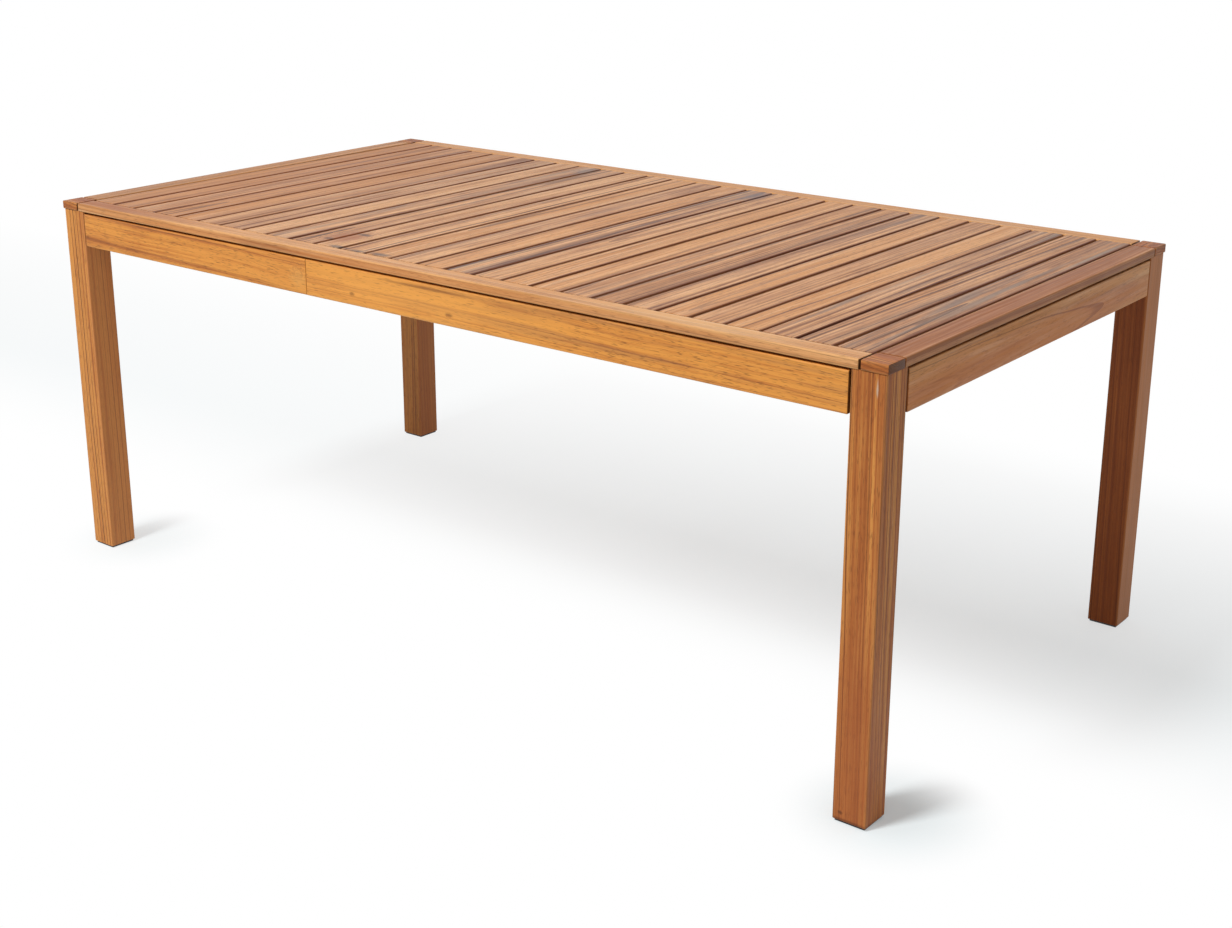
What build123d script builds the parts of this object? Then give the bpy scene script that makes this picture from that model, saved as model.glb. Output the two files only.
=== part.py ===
from build123d import *
import math
import os

# Slatted hardwood patio dining table, in millimetres.
# The origin is on the floor under the middle of the top, +X runs along the table, -Y is its front, +Z is up.

# Whole table
TOP_LENGTH = 1900.0
TOP_WIDTH = 1000.0
TABLE_HEIGHT = 740.0

# Boards of the top
BOARD_THICKNESS = 16.0
EDGE_RAIL_WIDTH = 40.0
END_BOARD_WIDTH = 45.0
CORNER_BLOCK_LENGTH = 48.0
SLAT_COUNT = 28
SLAT_GAP = 6.4
RAIL_END_GAP = 4.0
BLOCK_SEAM = 2.4
BOARD_EASE = 2.0
SLAT_EASE = 1.4

# Stub tenons that hold the slats in the edge rails
TENON_LENGTH = 8.0
TENON_THICKNESS = 6.0
TENON_SHOULDER = 8.0
TENON_CLEARANCE = 0.1
SLAT_END_GAP = 0.3

# Legs and their foot pads
LEG_SIZE = 59.0
LEG_INSET = 2.0
LEG_EASE = 2.5
LEG_END_EASE = 1.5
FOOT_PAD_THICKNESS = 4.0
FOOT_PAD_INSET = 3.0
FOOT_PAD_EASE = 0.8

# Aprons
APRON_HEIGHT = 66.0
APRON_THICKNESS = 20.0
APRON_INSET = 1.5
APRON_SHADOW_GAP = 4.0
APRON_END_GAP = 3.5
APRON_EASE = 2.5
APRON_SEAM_X = -240.0
APRON_SEAM_GAP = 1.0
APRON_SEAM_EASE = 0.6

# Battens under the top: cleats along the aprons, one bearer along the middle and splice blocks
BATTEN_THICKNESS = 22.0
CLEAT_WIDTH = 30.0
BEARER_WIDTH = 45.0
BATTEN_EASE = 1.0
SPLICE_LENGTH = 100.0
SPLICE_HEIGHT = 38.0
SPLICE_DROP = 2.0

# Cross rails between the long aprons
CROSS_RAIL_COUNT = 3
CROSS_RAIL_PITCH = 600.0
CROSS_RAIL_THICKNESS = 22.0
CROSS_RAIL_HEIGHT = 40.0

# Steel corner braces
BRACE_HEIGHT = 36.0
BRACE_DROP = 3.0
BRACE_THICKNESS = 2.5
BRACE_WING = 30.0
BRACE_STANDOFF = 1.5

# Hanger bolts and flange nuts
BOLT_RADIUS = 4.0
BOLT_IN_LEG = 40.0
BOLT_PAST_NUT = 5.0
BOLT_CLEARANCE = 0.05
BRACE_HOLE_RADIUS = 4.5
NUT_ACROSS_FLATS = 13.0
NUT_HEIGHT = 8.0
NUT_FLANGE_RADIUS = 9.0
NUT_FLANGE_THICKNESS = 1.5

# Wood screws with countersunk heads
SCREW_RADIUS = 2.0
SCREW_HEAD_RADIUS = 4.0
SCREW_HEAD_HEIGHT = 2.3
SCREW_TIP_LENGTH = 4.0
SCREW_TIP_RADIUS = 0.4
SCREW_SINK = 0.5
SCREW_CLEARANCE = 0.05
SHORT_SCREW_BITE = 10.0
LONG_SCREW_BITE = 12.0
PILOT_EXTRA = 1.0
TOP_SCREW_EVERY = 4
TOP_SCREW_FIRST = 2
END_SCREW_COUNT = 4
END_CLEAT_SCREW_Y = 220.0
SPLICE_SCREW_SPACING_X = 50.0
SPLICE_SCREW_SPACING_Z = 18.0
FOOT_SCREW_SPACING = 24.0

# Round-head screws that hold the braces
BRACE_SCREW_LENGTH = 16.0
BRACE_SCREW_HEAD_RADIUS = 3.8
BRACE_SCREW_HEAD_HEIGHT = 2.4
BRACE_SCREW_SPACING = 16.0

# Dowels
DOWEL_RADIUS = 4.0
DOWEL_LENGTH = 32.0
DOWEL_EASE = 0.8
DOWEL_CLEARANCE = 0.05
DOWEL_END_ROOM = 0.5
DOWEL_SPACING = 20.0
DOWEL_IN_SIDE = 14.0
DOWEL_IN_BLOCK = 10.0

# Heights worked out from the sizes above
BOARD_UNDERSIDE = TABLE_HEIGHT - BOARD_THICKNESS
APRON_TOP = BOARD_UNDERSIDE - APRON_SHADOW_GAP
APRON_BOTTOM = APRON_TOP - APRON_HEIGHT
BATTEN_BOTTOM = BOARD_UNDERSIDE - BATTEN_THICKNESS
BRACE_TOP = BATTEN_BOTTOM - BRACE_DROP
BRACE_BOTTOM = BRACE_TOP - BRACE_HEIGHT
SPLICE_TOP = BATTEN_BOTTOM - SPLICE_DROP

# Places along X, on the right-hand side
HALF_LENGTH = TOP_LENGTH / 2
END_BOARD_INNER_X = HALF_LENGTH - END_BOARD_WIDTH
RAIL_END_X = END_BOARD_INNER_X - RAIL_END_GAP
LEG_OUTER_X = HALF_LENGTH - LEG_INSET
LEG_INNER_X = LEG_OUTER_X - LEG_SIZE
END_APRON_OUTER_X = HALF_LENGTH - APRON_INSET
END_APRON_INNER_X = END_APRON_OUTER_X - APRON_THICKNESS
END_CLEAT_INNER_X = END_APRON_INNER_X - CLEAT_WIDTH
APRON_END_X = LEG_INNER_X - APRON_END_GAP

# Places along Y, on the back
HALF_WIDTH = TOP_WIDTH / 2
RAIL_INNER_Y = HALF_WIDTH - EDGE_RAIL_WIDTH
BLOCK_INNER_Y = HALF_WIDTH - CORNER_BLOCK_LENGTH
LEG_OUTER_Y = HALF_WIDTH - LEG_INSET
LEG_INNER_Y = LEG_OUTER_Y - LEG_SIZE
LONG_APRON_OUTER_Y = HALF_WIDTH - APRON_INSET
LONG_APRON_INNER_Y = LONG_APRON_OUTER_Y - APRON_THICKNESS
LONG_CLEAT_INNER_Y = LONG_APRON_INNER_Y - CLEAT_WIDTH
APRON_END_Y = LEG_INNER_Y - APRON_END_GAP

# Slats
PANEL_LENGTH = 2 * END_BOARD_INNER_X
SLAT_WIDTH = (PANEL_LENGTH - (SLAT_COUNT + 1) * SLAT_GAP) / SLAT_COUNT
SLAT_PITCH = SLAT_WIDTH + SLAT_GAP
SLAT_HALF_LENGTH = RAIL_INNER_Y - SLAT_END_GAP
TENON_WIDTH = SLAT_WIDTH - 2 * TENON_SHOULDER
BOARD_MIDDLE_Z = BOARD_UNDERSIDE + BOARD_THICKNESS / 2

# Screw lengths
SHORT_SCREW_LENGTH = BATTEN_THICKNESS - SCREW_SINK + SHORT_SCREW_BITE
LONG_SCREW_LENGTH = CLEAT_WIDTH - SCREW_SINK + LONG_SCREW_BITE

SIDES = (-1, 1)
CORNERS = {
    "front_left": (-1, -1),
    "front_right": (1, -1),
    "back_left": (-1, 1),
    "back_right": (1, 1),
}


def block(low, high):
    """Plain box between two opposite corners."""
    size = [abs(b - a) for a, b in zip(low, high)]
    middle = [(a + b) / 2 for a, b in zip(low, high)]
    return Pos(*middle) * Box(*size)


def eased(solid, radius):
    """Box with every edge rounded."""
    return fillet(solid.edges(), radius)


def without(solid, cutters):
    """Solid with all cutters taken out of it."""
    return solid - list(cutters) if cutters else solid


def turned(points):
    """Solid of revolution about Z from its half profile, given as (radius, height) points."""
    outline = [(radius, 0, height) for radius, height in points]
    return revolve(make_face(Polyline(*outline, close=True)), Axis.Z)


def along(place, direction):
    """Location whose Z axis points along a direction, from a place."""
    return Plane(origin=place, z_dir=direction).location


# Fasteners, each drawn with its head or end at the origin and pointing along +Z


def wood_screw(length):
    """Countersunk wood screw."""
    return turned([
        (0, 0),
        (SCREW_HEAD_RADIUS, 0),
        (SCREW_RADIUS, SCREW_HEAD_HEIGHT),
        (SCREW_RADIUS, length - SCREW_TIP_LENGTH),
        (SCREW_TIP_RADIUS, length),
        (0, length),
    ])


def wood_screw_hole(length, sink=SCREW_SINK):
    """Pilot hole, countersink and mouth for a countersunk wood screw."""
    head = SCREW_HEAD_RADIUS + SCREW_CLEARANCE
    shank = SCREW_RADIUS + SCREW_CLEARANCE
    return turned([
        (0, -sink - PILOT_EXTRA),
        (head, -sink - PILOT_EXTRA),
        (head, 0),
        (shank, SCREW_HEAD_HEIGHT),
        (shank, length + PILOT_EXTRA),
        (0, length + PILOT_EXTRA),
    ])


def brace_screw():
    """Round-head screw, with its head's underside at the origin."""
    head_corner = BRACE_SCREW_HEAD_RADIUS * 0.6
    return turned([
        (0, -BRACE_SCREW_HEAD_HEIGHT),
        (head_corner, -BRACE_SCREW_HEAD_HEIGHT),
        (BRACE_SCREW_HEAD_RADIUS, -BRACE_SCREW_HEAD_HEIGHT / 3),
        (BRACE_SCREW_HEAD_RADIUS, 0),
        (SCREW_RADIUS, 0),
        (SCREW_RADIUS, BRACE_SCREW_LENGTH - SCREW_TIP_LENGTH),
        (SCREW_TIP_RADIUS, BRACE_SCREW_LENGTH),
        (0, BRACE_SCREW_LENGTH),
    ])


def brace_screw_hole():
    """Hole for a brace screw through the brace and into the apron."""
    depth = BRACE_SCREW_LENGTH + PILOT_EXTRA
    return Pos(0, 0, depth / 2 - PILOT_EXTRA) * Cylinder(SCREW_RADIUS + SCREW_CLEARANCE, depth)


def dowel():
    """Dowel with eased ends."""
    pin = Pos(0, 0, DOWEL_LENGTH / 2) * Cylinder(DOWEL_RADIUS, DOWEL_LENGTH)
    return chamfer(pin.edges().filter_by(GeomType.CIRCLE), DOWEL_EASE)


def dowel_hole():
    """Hole for a dowel, with a little room at both ends."""
    depth = DOWEL_LENGTH + 2 * DOWEL_END_ROOM
    return Pos(0, 0, DOWEL_LENGTH / 2) * Cylinder(DOWEL_RADIUS + DOWEL_CLEARANCE, depth)


# Where the fasteners sit


def slat_x(index):
    """Middle of a slat, counted from the left."""
    return -PANEL_LENGTH / 2 + SLAT_GAP + SLAT_WIDTH / 2 + index * SLAT_PITCH


def gap_x(index):
    """Middle of a gap between slats, counted from the left end board."""
    return -PANEL_LENGTH / 2 + SLAT_GAP / 2 + index * SLAT_PITCH


def cross_rail_x(index):
    """Middle of a cross rail, counted from the left."""
    return (index - (CROSS_RAIL_COUNT - 1) / 2) * CROSS_RAIL_PITCH


def end_cleat_span(share):
    """Place along an end cleat, from 0 at its front end to 1 at its back end."""
    return -APRON_END_Y + 2 * APRON_END_Y * share


def bearer_screws():
    """Screws up through the bearer, one into each slat."""
    height = BATTEN_BOTTOM + SCREW_SINK
    return [along((slat_x(i), 0, height), (0, 0, 1)) for i in range(SLAT_COUNT)]


def rail_screws(side):
    """Screws up through a long cleat into its edge rail, between the tenons."""
    y = side * (RAIL_INNER_Y + LONG_APRON_INNER_Y) / 2
    height = BATTEN_BOTTOM + SCREW_SINK
    places = range(TOP_SCREW_FIRST, SLAT_COUNT, TOP_SCREW_EVERY)
    return [along((gap_x(i), y, height), (0, 0, 1)) for i in places]


def end_board_screws(side):
    """Screws up through an end cleat into its end board."""
    x = side * (END_BOARD_INNER_X + END_APRON_INNER_X) / 2
    height = BATTEN_BOTTOM + SCREW_SINK
    shares = [(i + 0.5) / END_SCREW_COUNT for i in range(END_SCREW_COUNT)]
    return [along((x, end_cleat_span(share), height), (0, 0, 1)) for share in shares]


def splice_screws(side):
    """Screws through a splice block, two into each board of its apron."""
    y = side * (LONG_APRON_INNER_Y - BATTEN_THICKNESS + SCREW_SINK)
    middle_z = SPLICE_TOP - SPLICE_HEIGHT / 2
    return [
        along((seam_x(side) + i * SPLICE_SCREW_SPACING_X / 2, y, middle_z + k * SPLICE_SCREW_SPACING_Z / 2),
              (0, side, 0))
        for i in SIDES
        for k in SIDES
    ]


def foot_screws(corner):
    """Screws up through a foot pad into its leg."""
    x, y = leg_middle(corner)
    return [
        along((x + i * FOOT_SCREW_SPACING / 2, y + i * FOOT_SCREW_SPACING / 2, SCREW_SINK), (0, 0, 1))
        for i in SIDES
    ]


def long_cleat_screws(side):
    """Screws through a long cleat into its apron, halfway between the rail screws."""
    y = side * (LONG_CLEAT_INNER_Y + SCREW_SINK)
    height = BATTEN_BOTTOM + BATTEN_THICKNESS / 2
    first = TOP_SCREW_FIRST + TOP_SCREW_EVERY // 2
    places = range(first, SLAT_COUNT - TOP_SCREW_FIRST, TOP_SCREW_EVERY)
    return [along((gap_x(i), y, height), (0, side, 0)) for i in places]


def end_cleat_screws(side):
    """Screws through an end cleat into its apron."""
    x = side * (END_CLEAT_INNER_X + SCREW_SINK)
    height = BATTEN_BOTTOM + BATTEN_THICKNESS / 2
    return [along((x, k * END_CLEAT_SCREW_Y, height), (side, 0, 0)) for k in SIDES]


def cross_rail_screws(index):
    """Screw up through a cross rail into the bearer, sunk as deep as its length asks."""
    height = BATTEN_BOTTOM + LONG_SCREW_BITE - LONG_SCREW_LENGTH
    return [along((cross_rail_x(index), 0, height), (0, 0, 1))]


def brace_screws(corner):
    """Screws through both wings of a corner brace into the two aprons."""
    sx, sy = corner
    bend_x, bend_y = brace_bends()
    middle_z = (BRACE_TOP + BRACE_BOTTOM) / 2
    inner_x = END_APRON_INNER_X - BRACE_THICKNESS
    inner_y = LONG_APRON_INNER_Y - BRACE_THICKNESS
    long_wing_x = bend_x - BRACE_WING / 2
    end_wing_y = bend_y - BRACE_WING / 2
    heights = [middle_z + k * BRACE_SCREW_SPACING / 2 for k in SIDES]
    on_long = [along((sx * long_wing_x, sy * inner_y, z), (0, sy, 0)) for z in heights]
    on_end = [along((sx * inner_x, sy * end_wing_y, z), (sx, 0, 0)) for z in heights]
    return on_long, on_end


def cross_rail_dowels(index, side):
    """Dowels between a cross rail's end and a long apron."""
    y = side * (LONG_APRON_INNER_Y + DOWEL_IN_SIDE - DOWEL_LENGTH)
    middle_z = BATTEN_BOTTOM - CROSS_RAIL_HEIGHT / 2
    return [
        along((cross_rail_x(index), y, middle_z + k * DOWEL_SPACING / 2), (0, side, 0))
        for k in SIDES
    ]


def bearer_dowels(side):
    """Dowels between the bearer's end and an end cleat."""
    x = side * (END_CLEAT_INNER_X + DOWEL_IN_SIDE - DOWEL_LENGTH)
    middle_z = BATTEN_BOTTOM + BATTEN_THICKNESS / 2
    return [along((x, k * DOWEL_SPACING / 2, middle_z), (side, 0, 0)) for k in SIDES]


def block_dowels(corner):
    """Upright dowels between a leg's top and its corner block."""
    sx, sy = corner
    x = sx * (END_BOARD_INNER_X + LEG_OUTER_X) / 2
    y = sy * (BLOCK_INNER_Y + LEG_OUTER_Y) / 2
    height = BOARD_UNDERSIDE + DOWEL_IN_BLOCK - DOWEL_LENGTH
    return [along((x, y + k * DOWEL_SPACING / 2, height), (0, 0, 1)) for k in SIDES]


def holes(places, cutter):
    """One cutter at each place."""
    return [place * cutter for place in places]


# Boards of the top


def slat(index):
    """Slat with a stub tenon at each end and a pilot hole over the bearer."""
    x = slat_x(index)
    body = block((x - SLAT_WIDTH / 2, -SLAT_HALF_LENGTH, BOARD_UNDERSIDE),
                 (x + SLAT_WIDTH / 2, SLAT_HALF_LENGTH, TABLE_HEIGHT))
    body = eased(body, SLAT_EASE)
    reach = SLAT_HALF_LENGTH + TENON_LENGTH
    tenon = Pos(x, 0, BOARD_MIDDLE_Z) * Box(TENON_WIDTH, 2 * reach, TENON_THICKNESS)
    return without(body + tenon, holes([bearer_screws()[index]], wood_screw_hole(SHORT_SCREW_LENGTH)))


def mortises(side):
    """Mortises for the slats' tenons, along one edge rail."""
    depth = TENON_LENGTH + TENON_CLEARANCE - SLAT_END_GAP
    width = TENON_WIDTH + 2 * TENON_CLEARANCE
    height = TENON_THICKNESS + 2 * TENON_CLEARANCE
    cutter = Box(width, 2 * depth, height)
    return [Pos(slat_x(i), side * RAIL_INNER_Y, BOARD_MIDDLE_Z) * cutter for i in range(SLAT_COUNT)]


def edge_rail(side):
    """Long edge of the top."""
    rail = block((-RAIL_END_X, side * RAIL_INNER_Y, BOARD_UNDERSIDE),
                 (RAIL_END_X, side * HALF_WIDTH, TABLE_HEIGHT))
    pilots = holes(rail_screws(side), wood_screw_hole(SHORT_SCREW_LENGTH))
    return without(eased(rail, BOARD_EASE), mortises(side) + pilots)


def end_board(side):
    """Short edge of the top, between two corner blocks."""
    reach = BLOCK_INNER_Y - BLOCK_SEAM
    board = block((side * END_BOARD_INNER_X, -reach, BOARD_UNDERSIDE),
                  (side * HALF_LENGTH, reach, TABLE_HEIGHT))
    pilots = holes(end_board_screws(side), wood_screw_hole(SHORT_SCREW_LENGTH))
    return without(eased(board, BOARD_EASE), pilots)


def corner_block(corner):
    """Block at a corner of the top, dowelled to the leg under it."""
    sx, sy = corner
    body = block((sx * END_BOARD_INNER_X, sy * BLOCK_INNER_Y, BOARD_UNDERSIDE),
                 (sx * HALF_LENGTH, sy * HALF_WIDTH, TABLE_HEIGHT))
    return without(eased(body, BOARD_EASE), holes(block_dowels(corner), dowel_hole()))


# Legs and feet


def leg_middle(corner):
    """Middle of a leg in plan."""
    sx, sy = corner
    return sx * (LEG_OUTER_X + LEG_INNER_X) / 2, sy * (LEG_OUTER_Y + LEG_INNER_Y) / 2


def leg(corner):
    """Square leg with eased edges."""
    x, y = leg_middle(corner)
    half = LEG_SIZE / 2
    body = block((x - half, y - half, FOOT_PAD_THICKNESS), (x + half, y + half, BOARD_UNDERSIDE))
    body = fillet(body.edges().filter_by(Axis.Z), LEG_EASE)
    ends = body.faces().sort_by(Axis.Z)
    body = fillet(ends[0].edges() + ends[-1].edges(), LEG_END_EASE)
    cuts = holes(block_dowels(corner), dowel_hole())
    cuts += holes(foot_screws(corner), wood_screw_hole(SHORT_SCREW_LENGTH))
    cuts.append(bolt_place(corner) * bolt_hole())
    return without(body, cuts)


def foot_pad(corner):
    """Square pad under a leg."""
    x, y = leg_middle(corner)
    half = LEG_SIZE / 2 - FOOT_PAD_INSET
    pad = block((x - half, y - half, 0), (x + half, y + half, FOOT_PAD_THICKNESS))
    pad = eased(pad, FOOT_PAD_EASE)
    return without(pad, holes(foot_screws(corner), wood_screw_hole(SHORT_SCREW_LENGTH)))


# Aprons


def seam_x(side):
    """Seam of a long apron: the back one is the front one turned round."""
    return -side * APRON_SEAM_X


def apron_cuts(side):
    """Every hole that a long apron's boards share."""
    cuts = holes(long_cleat_screws(side), wood_screw_hole(LONG_SCREW_LENGTH))
    cuts += holes(splice_screws(side), wood_screw_hole(SHORT_SCREW_LENGTH))
    for index in range(CROSS_RAIL_COUNT):
        cuts += holes(cross_rail_dowels(index, side), dowel_hole())
    for end in SIDES:
        cuts += holes(brace_screws((end, side))[0], brace_screw_hole())
    return cuts


def long_apron_board(side, end):
    """One of the two boards of a long apron, from a leg to the seam."""
    seam_end = seam_x(side) + end * APRON_SEAM_GAP / 2
    board = block((seam_end, side * LONG_APRON_INNER_Y, APRON_BOTTOM),
                  (end * APRON_END_X, side * LONG_APRON_OUTER_Y, APRON_TOP))
    end_faces = board.faces().sort_by(Axis.X)
    seam_face = end_faces[0] if end > 0 else end_faces[-1]
    seam_edges = seam_face.edges()
    other_edges = [edge for edge in board.edges() if edge not in seam_edges]
    board = fillet(other_edges, APRON_EASE)
    end_faces = board.faces().sort_by(Axis.X)
    seam_face = end_faces[0] if end > 0 else end_faces[-1]
    board = fillet(seam_face.edges(), APRON_SEAM_EASE)
    return without(board, apron_cuts(side))


def end_apron(side):
    """Short apron between two legs."""
    board = block((side * END_APRON_INNER_X, -APRON_END_Y, APRON_BOTTOM),
                  (side * END_APRON_OUTER_X, APRON_END_Y, APRON_TOP))
    cuts = holes(end_cleat_screws(side), wood_screw_hole(LONG_SCREW_LENGTH))
    for end in SIDES:
        cuts += holes(brace_screws((side, end))[1], brace_screw_hole())
    return without(eased(board, APRON_EASE), cuts)


# Battens under the top


def long_cleat(side):
    """Cleat along a long apron, which carries the edge rail and the slats' ends."""
    batten = block((-APRON_END_X, side * LONG_CLEAT_INNER_Y, BATTEN_BOTTOM),
                   (APRON_END_X, side * LONG_APRON_INNER_Y, BOARD_UNDERSIDE))
    cuts = holes(rail_screws(side), wood_screw_hole(SHORT_SCREW_LENGTH))
    cuts += holes(long_cleat_screws(side), wood_screw_hole(LONG_SCREW_LENGTH))
    return without(eased(batten, BATTEN_EASE), cuts)


def end_cleat(side):
    """Cleat along an end apron, which carries the end board and the bearer's end."""
    batten = block((side * END_CLEAT_INNER_X, -APRON_END_Y, BATTEN_BOTTOM),
                   (side * END_APRON_INNER_X, APRON_END_Y, BOARD_UNDERSIDE))
    cuts = holes(end_board_screws(side), wood_screw_hole(SHORT_SCREW_LENGTH))
    cuts += holes(end_cleat_screws(side), wood_screw_hole(LONG_SCREW_LENGTH))
    cuts += holes(bearer_dowels(side), dowel_hole())
    return without(eased(batten, BATTEN_EASE), cuts)


def slat_bearer():
    """Batten along the middle of the top, under every slat."""
    batten = block((-END_CLEAT_INNER_X, -BEARER_WIDTH / 2, BATTEN_BOTTOM),
                   (END_CLEAT_INNER_X, BEARER_WIDTH / 2, BOARD_UNDERSIDE))
    long_edges = batten.edges().filter_by(Axis.X)
    cuts = holes(bearer_screws(), wood_screw_hole(SHORT_SCREW_LENGTH))
    for side in SIDES:
        cuts += holes(bearer_dowels(side), dowel_hole())
    for index in range(CROSS_RAIL_COUNT):
        cuts += holes(cross_rail_screws(index), wood_screw_hole(LONG_SCREW_LENGTH, cross_rail_sink()))
    return without(fillet(long_edges, BATTEN_EASE), cuts)


def cross_rail_sink():
    """Depth of the counterbore under a cross rail's screw."""
    return CROSS_RAIL_HEIGHT + LONG_SCREW_BITE - LONG_SCREW_LENGTH


def cross_rail(index):
    """Rail across the table, dowelled to both long aprons."""
    x = cross_rail_x(index)
    half = CROSS_RAIL_THICKNESS / 2
    rail = block((x - half, -LONG_APRON_INNER_Y, BATTEN_BOTTOM - CROSS_RAIL_HEIGHT),
                 (x + half, LONG_APRON_INNER_Y, BATTEN_BOTTOM))
    rail = fillet(rail.edges().filter_by(Axis.Y), BATTEN_EASE)
    cuts = holes(cross_rail_screws(index), wood_screw_hole(LONG_SCREW_LENGTH, cross_rail_sink()))
    for side in SIDES:
        cuts += holes(cross_rail_dowels(index, side), dowel_hole())
    return without(rail, cuts)


def splice_block(side):
    """Block behind a long apron's seam, which joins its two boards."""
    half = SPLICE_LENGTH / 2
    middle = seam_x(side)
    body = block((middle - half, side * (LONG_APRON_INNER_Y - BATTEN_THICKNESS), SPLICE_TOP - SPLICE_HEIGHT),
                 (middle + half, side * LONG_APRON_INNER_Y, SPLICE_TOP))
    return without(eased(body, BATTEN_EASE), holes(splice_screws(side), wood_screw_hole(SHORT_SCREW_LENGTH)))


# Corner hardware


def brace_bends():
    """Where a brace leaves the long apron along X, and the end apron along Y."""
    diagonal = LEG_INNER_X + LEG_INNER_Y - BRACE_STANDOFF * math.sqrt(2)
    return diagonal - LONG_APRON_INNER_Y, diagonal - END_APRON_INNER_X


def bolt_place(corner):
    """Start of a hanger bolt's screw-in end, pointing out of the leg's inner corner."""
    sx, sy = corner
    inset = BOLT_IN_LEG / math.sqrt(2)
    height = (BRACE_TOP + BRACE_BOTTOM) / 2
    return along((sx * (LEG_INNER_X + inset), sy * (LEG_INNER_Y + inset), height), (-sx, -sy, 0))


def nut_seat():
    """Distance along a hanger bolt to the brace's inner face, where the nut sits."""
    return BOLT_IN_LEG + BRACE_STANDOFF + BRACE_THICKNESS


def hanger_bolt():
    """Hanger bolt, from its screw-in end."""
    length = nut_seat() + NUT_HEIGHT + BOLT_PAST_NUT
    rod = Pos(0, 0, length / 2) * Cylinder(BOLT_RADIUS, length)
    return chamfer(rod.edges().filter_by(GeomType.CIRCLE), DOWEL_EASE)


def bolt_hole():
    """Hole for a hanger bolt in a leg."""
    depth = BOLT_IN_LEG + BRACE_STANDOFF + PILOT_EXTRA
    return Pos(0, 0, depth / 2 - PILOT_EXTRA) * Cylinder(BOLT_RADIUS + BOLT_CLEARANCE, depth)


def flange_nut():
    """Hexagon nut with a round flange, seated on a brace."""
    hexagon = RegularPolygon(NUT_ACROSS_FLATS / 2, 6, major_radius=False)
    flange = Pos(0, 0, NUT_FLANGE_THICKNESS / 2) * Cylinder(NUT_FLANGE_RADIUS, NUT_FLANGE_THICKNESS)
    bore = Pos(0, 0, NUT_HEIGHT / 2) * Cylinder(BOLT_RADIUS + BOLT_CLEARANCE, 2 * NUT_HEIGHT)
    return Pos(0, 0, nut_seat()) * (extrude(hexagon, NUT_HEIGHT) + flange - bore)


def corner_brace(corner):
    """Bent plate across a corner, with a wing on each apron."""
    sx, sy = corner
    bend_x, bend_y = brace_bends()
    outer_x = END_APRON_INNER_X
    outer_y = LONG_APRON_INNER_Y
    thick = BRACE_THICKNESS
    miter = thick * math.tan(math.pi / 8)
    outline = [
        (bend_x - BRACE_WING, outer_y),
        (bend_x, outer_y),
        (outer_x, bend_y),
        (outer_x, bend_y - BRACE_WING),
        (outer_x - thick, bend_y - BRACE_WING),
        (outer_x - thick, bend_y - miter),
        (bend_x - miter, outer_y - thick),
        (bend_x - BRACE_WING, outer_y - thick),
    ]
    points = [(sx * x, sy * y, BRACE_BOTTOM) for x, y in outline]
    plate = extrude(make_face(Polyline(*points, close=True)), amount=BRACE_HEIGHT, dir=(0, 0, 1))
    on_long, on_end = brace_screws(corner)
    cuts = holes(on_long + on_end, brace_screw_hole())
    hole_depth = 2 * nut_seat()
    cuts.append(bolt_place(corner) * (Pos(0, 0, hole_depth / 2) * Cylinder(BRACE_HOLE_RADIUS, hole_depth)))
    return without(plate, cuts)


# Groups of like fasteners


def short_screw_group():
    """Screws that hold the top's boards, the splice blocks and the foot pads."""
    places = bearer_screws()
    for side in SIDES:
        places += rail_screws(side) + end_board_screws(side) + splice_screws(side)
    for corner in CORNERS.values():
        places += foot_screws(corner)
    return holes(places, wood_screw(SHORT_SCREW_LENGTH))


def long_screw_group():
    """Screws that hold the cleats to the aprons, and the bearer to the cross rails."""
    places = []
    for side in SIDES:
        places += long_cleat_screws(side) + end_cleat_screws(side)
    for index in range(CROSS_RAIL_COUNT):
        places += cross_rail_screws(index)
    return holes(places, wood_screw(LONG_SCREW_LENGTH))


def brace_screw_group():
    """Screws that hold the corner braces."""
    places = []
    for corner in CORNERS.values():
        on_long, on_end = brace_screws(corner)
        places += on_long + on_end
    return holes(places, brace_screw())


def dowel_group():
    """Dowels of the cross rails, the bearer and the corner blocks."""
    places = []
    for side in SIDES:
        places += bearer_dowels(side)
        for index in range(CROSS_RAIL_COUNT):
            places += cross_rail_dowels(index, side)
    for corner in CORNERS.values():
        places += block_dowels(corner)
    return holes(places, dowel())


def table():
    """Every node of the table, by name."""
    nodes = {f"slat_{i + 1:02d}": slat(i) for i in range(SLAT_COUNT)}
    for side, name in zip(SIDES, ("front", "back")):
        nodes[f"{name}_edge_rail"] = edge_rail(side)
        nodes[f"{name}_apron_left"] = long_apron_board(side, -1)
        nodes[f"{name}_apron_right"] = long_apron_board(side, 1)
        nodes[f"{name}_cleat"] = long_cleat(side)
    for side, name in zip(SIDES, ("left", "right")):
        nodes[f"{name}_end_board"] = end_board(side)
        nodes[f"{name}_end_apron"] = end_apron(side)
    for name, corner in CORNERS.items():
        nodes[f"{name}_corner_block"] = corner_block(corner)
        nodes[f"{name}_leg"] = leg(corner)
    corners = CORNERS.values()
    nodes["end_cleats"] = [end_cleat(side) for side in SIDES]
    nodes["slat_bearer"] = slat_bearer()
    nodes["cross_rails"] = [cross_rail(index) for index in range(CROSS_RAIL_COUNT)]
    nodes["apron_splice_blocks"] = [splice_block(side) for side in SIDES]
    nodes["foot_pads"] = [foot_pad(corner) for corner in corners]
    nodes["corner_braces"] = [corner_brace(corner) for corner in corners]
    nodes["hanger_bolts"] = [bolt_place(corner) * hanger_bolt() for corner in corners]
    nodes["flange_nuts"] = [bolt_place(corner) * flange_nut() for corner in corners]
    nodes["short_screws"] = short_screw_group()
    nodes["long_screws"] = long_screw_group()
    nodes["brace_screws"] = brace_screw_group()
    nodes["dowels"] = dowel_group()
    return nodes


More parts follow.
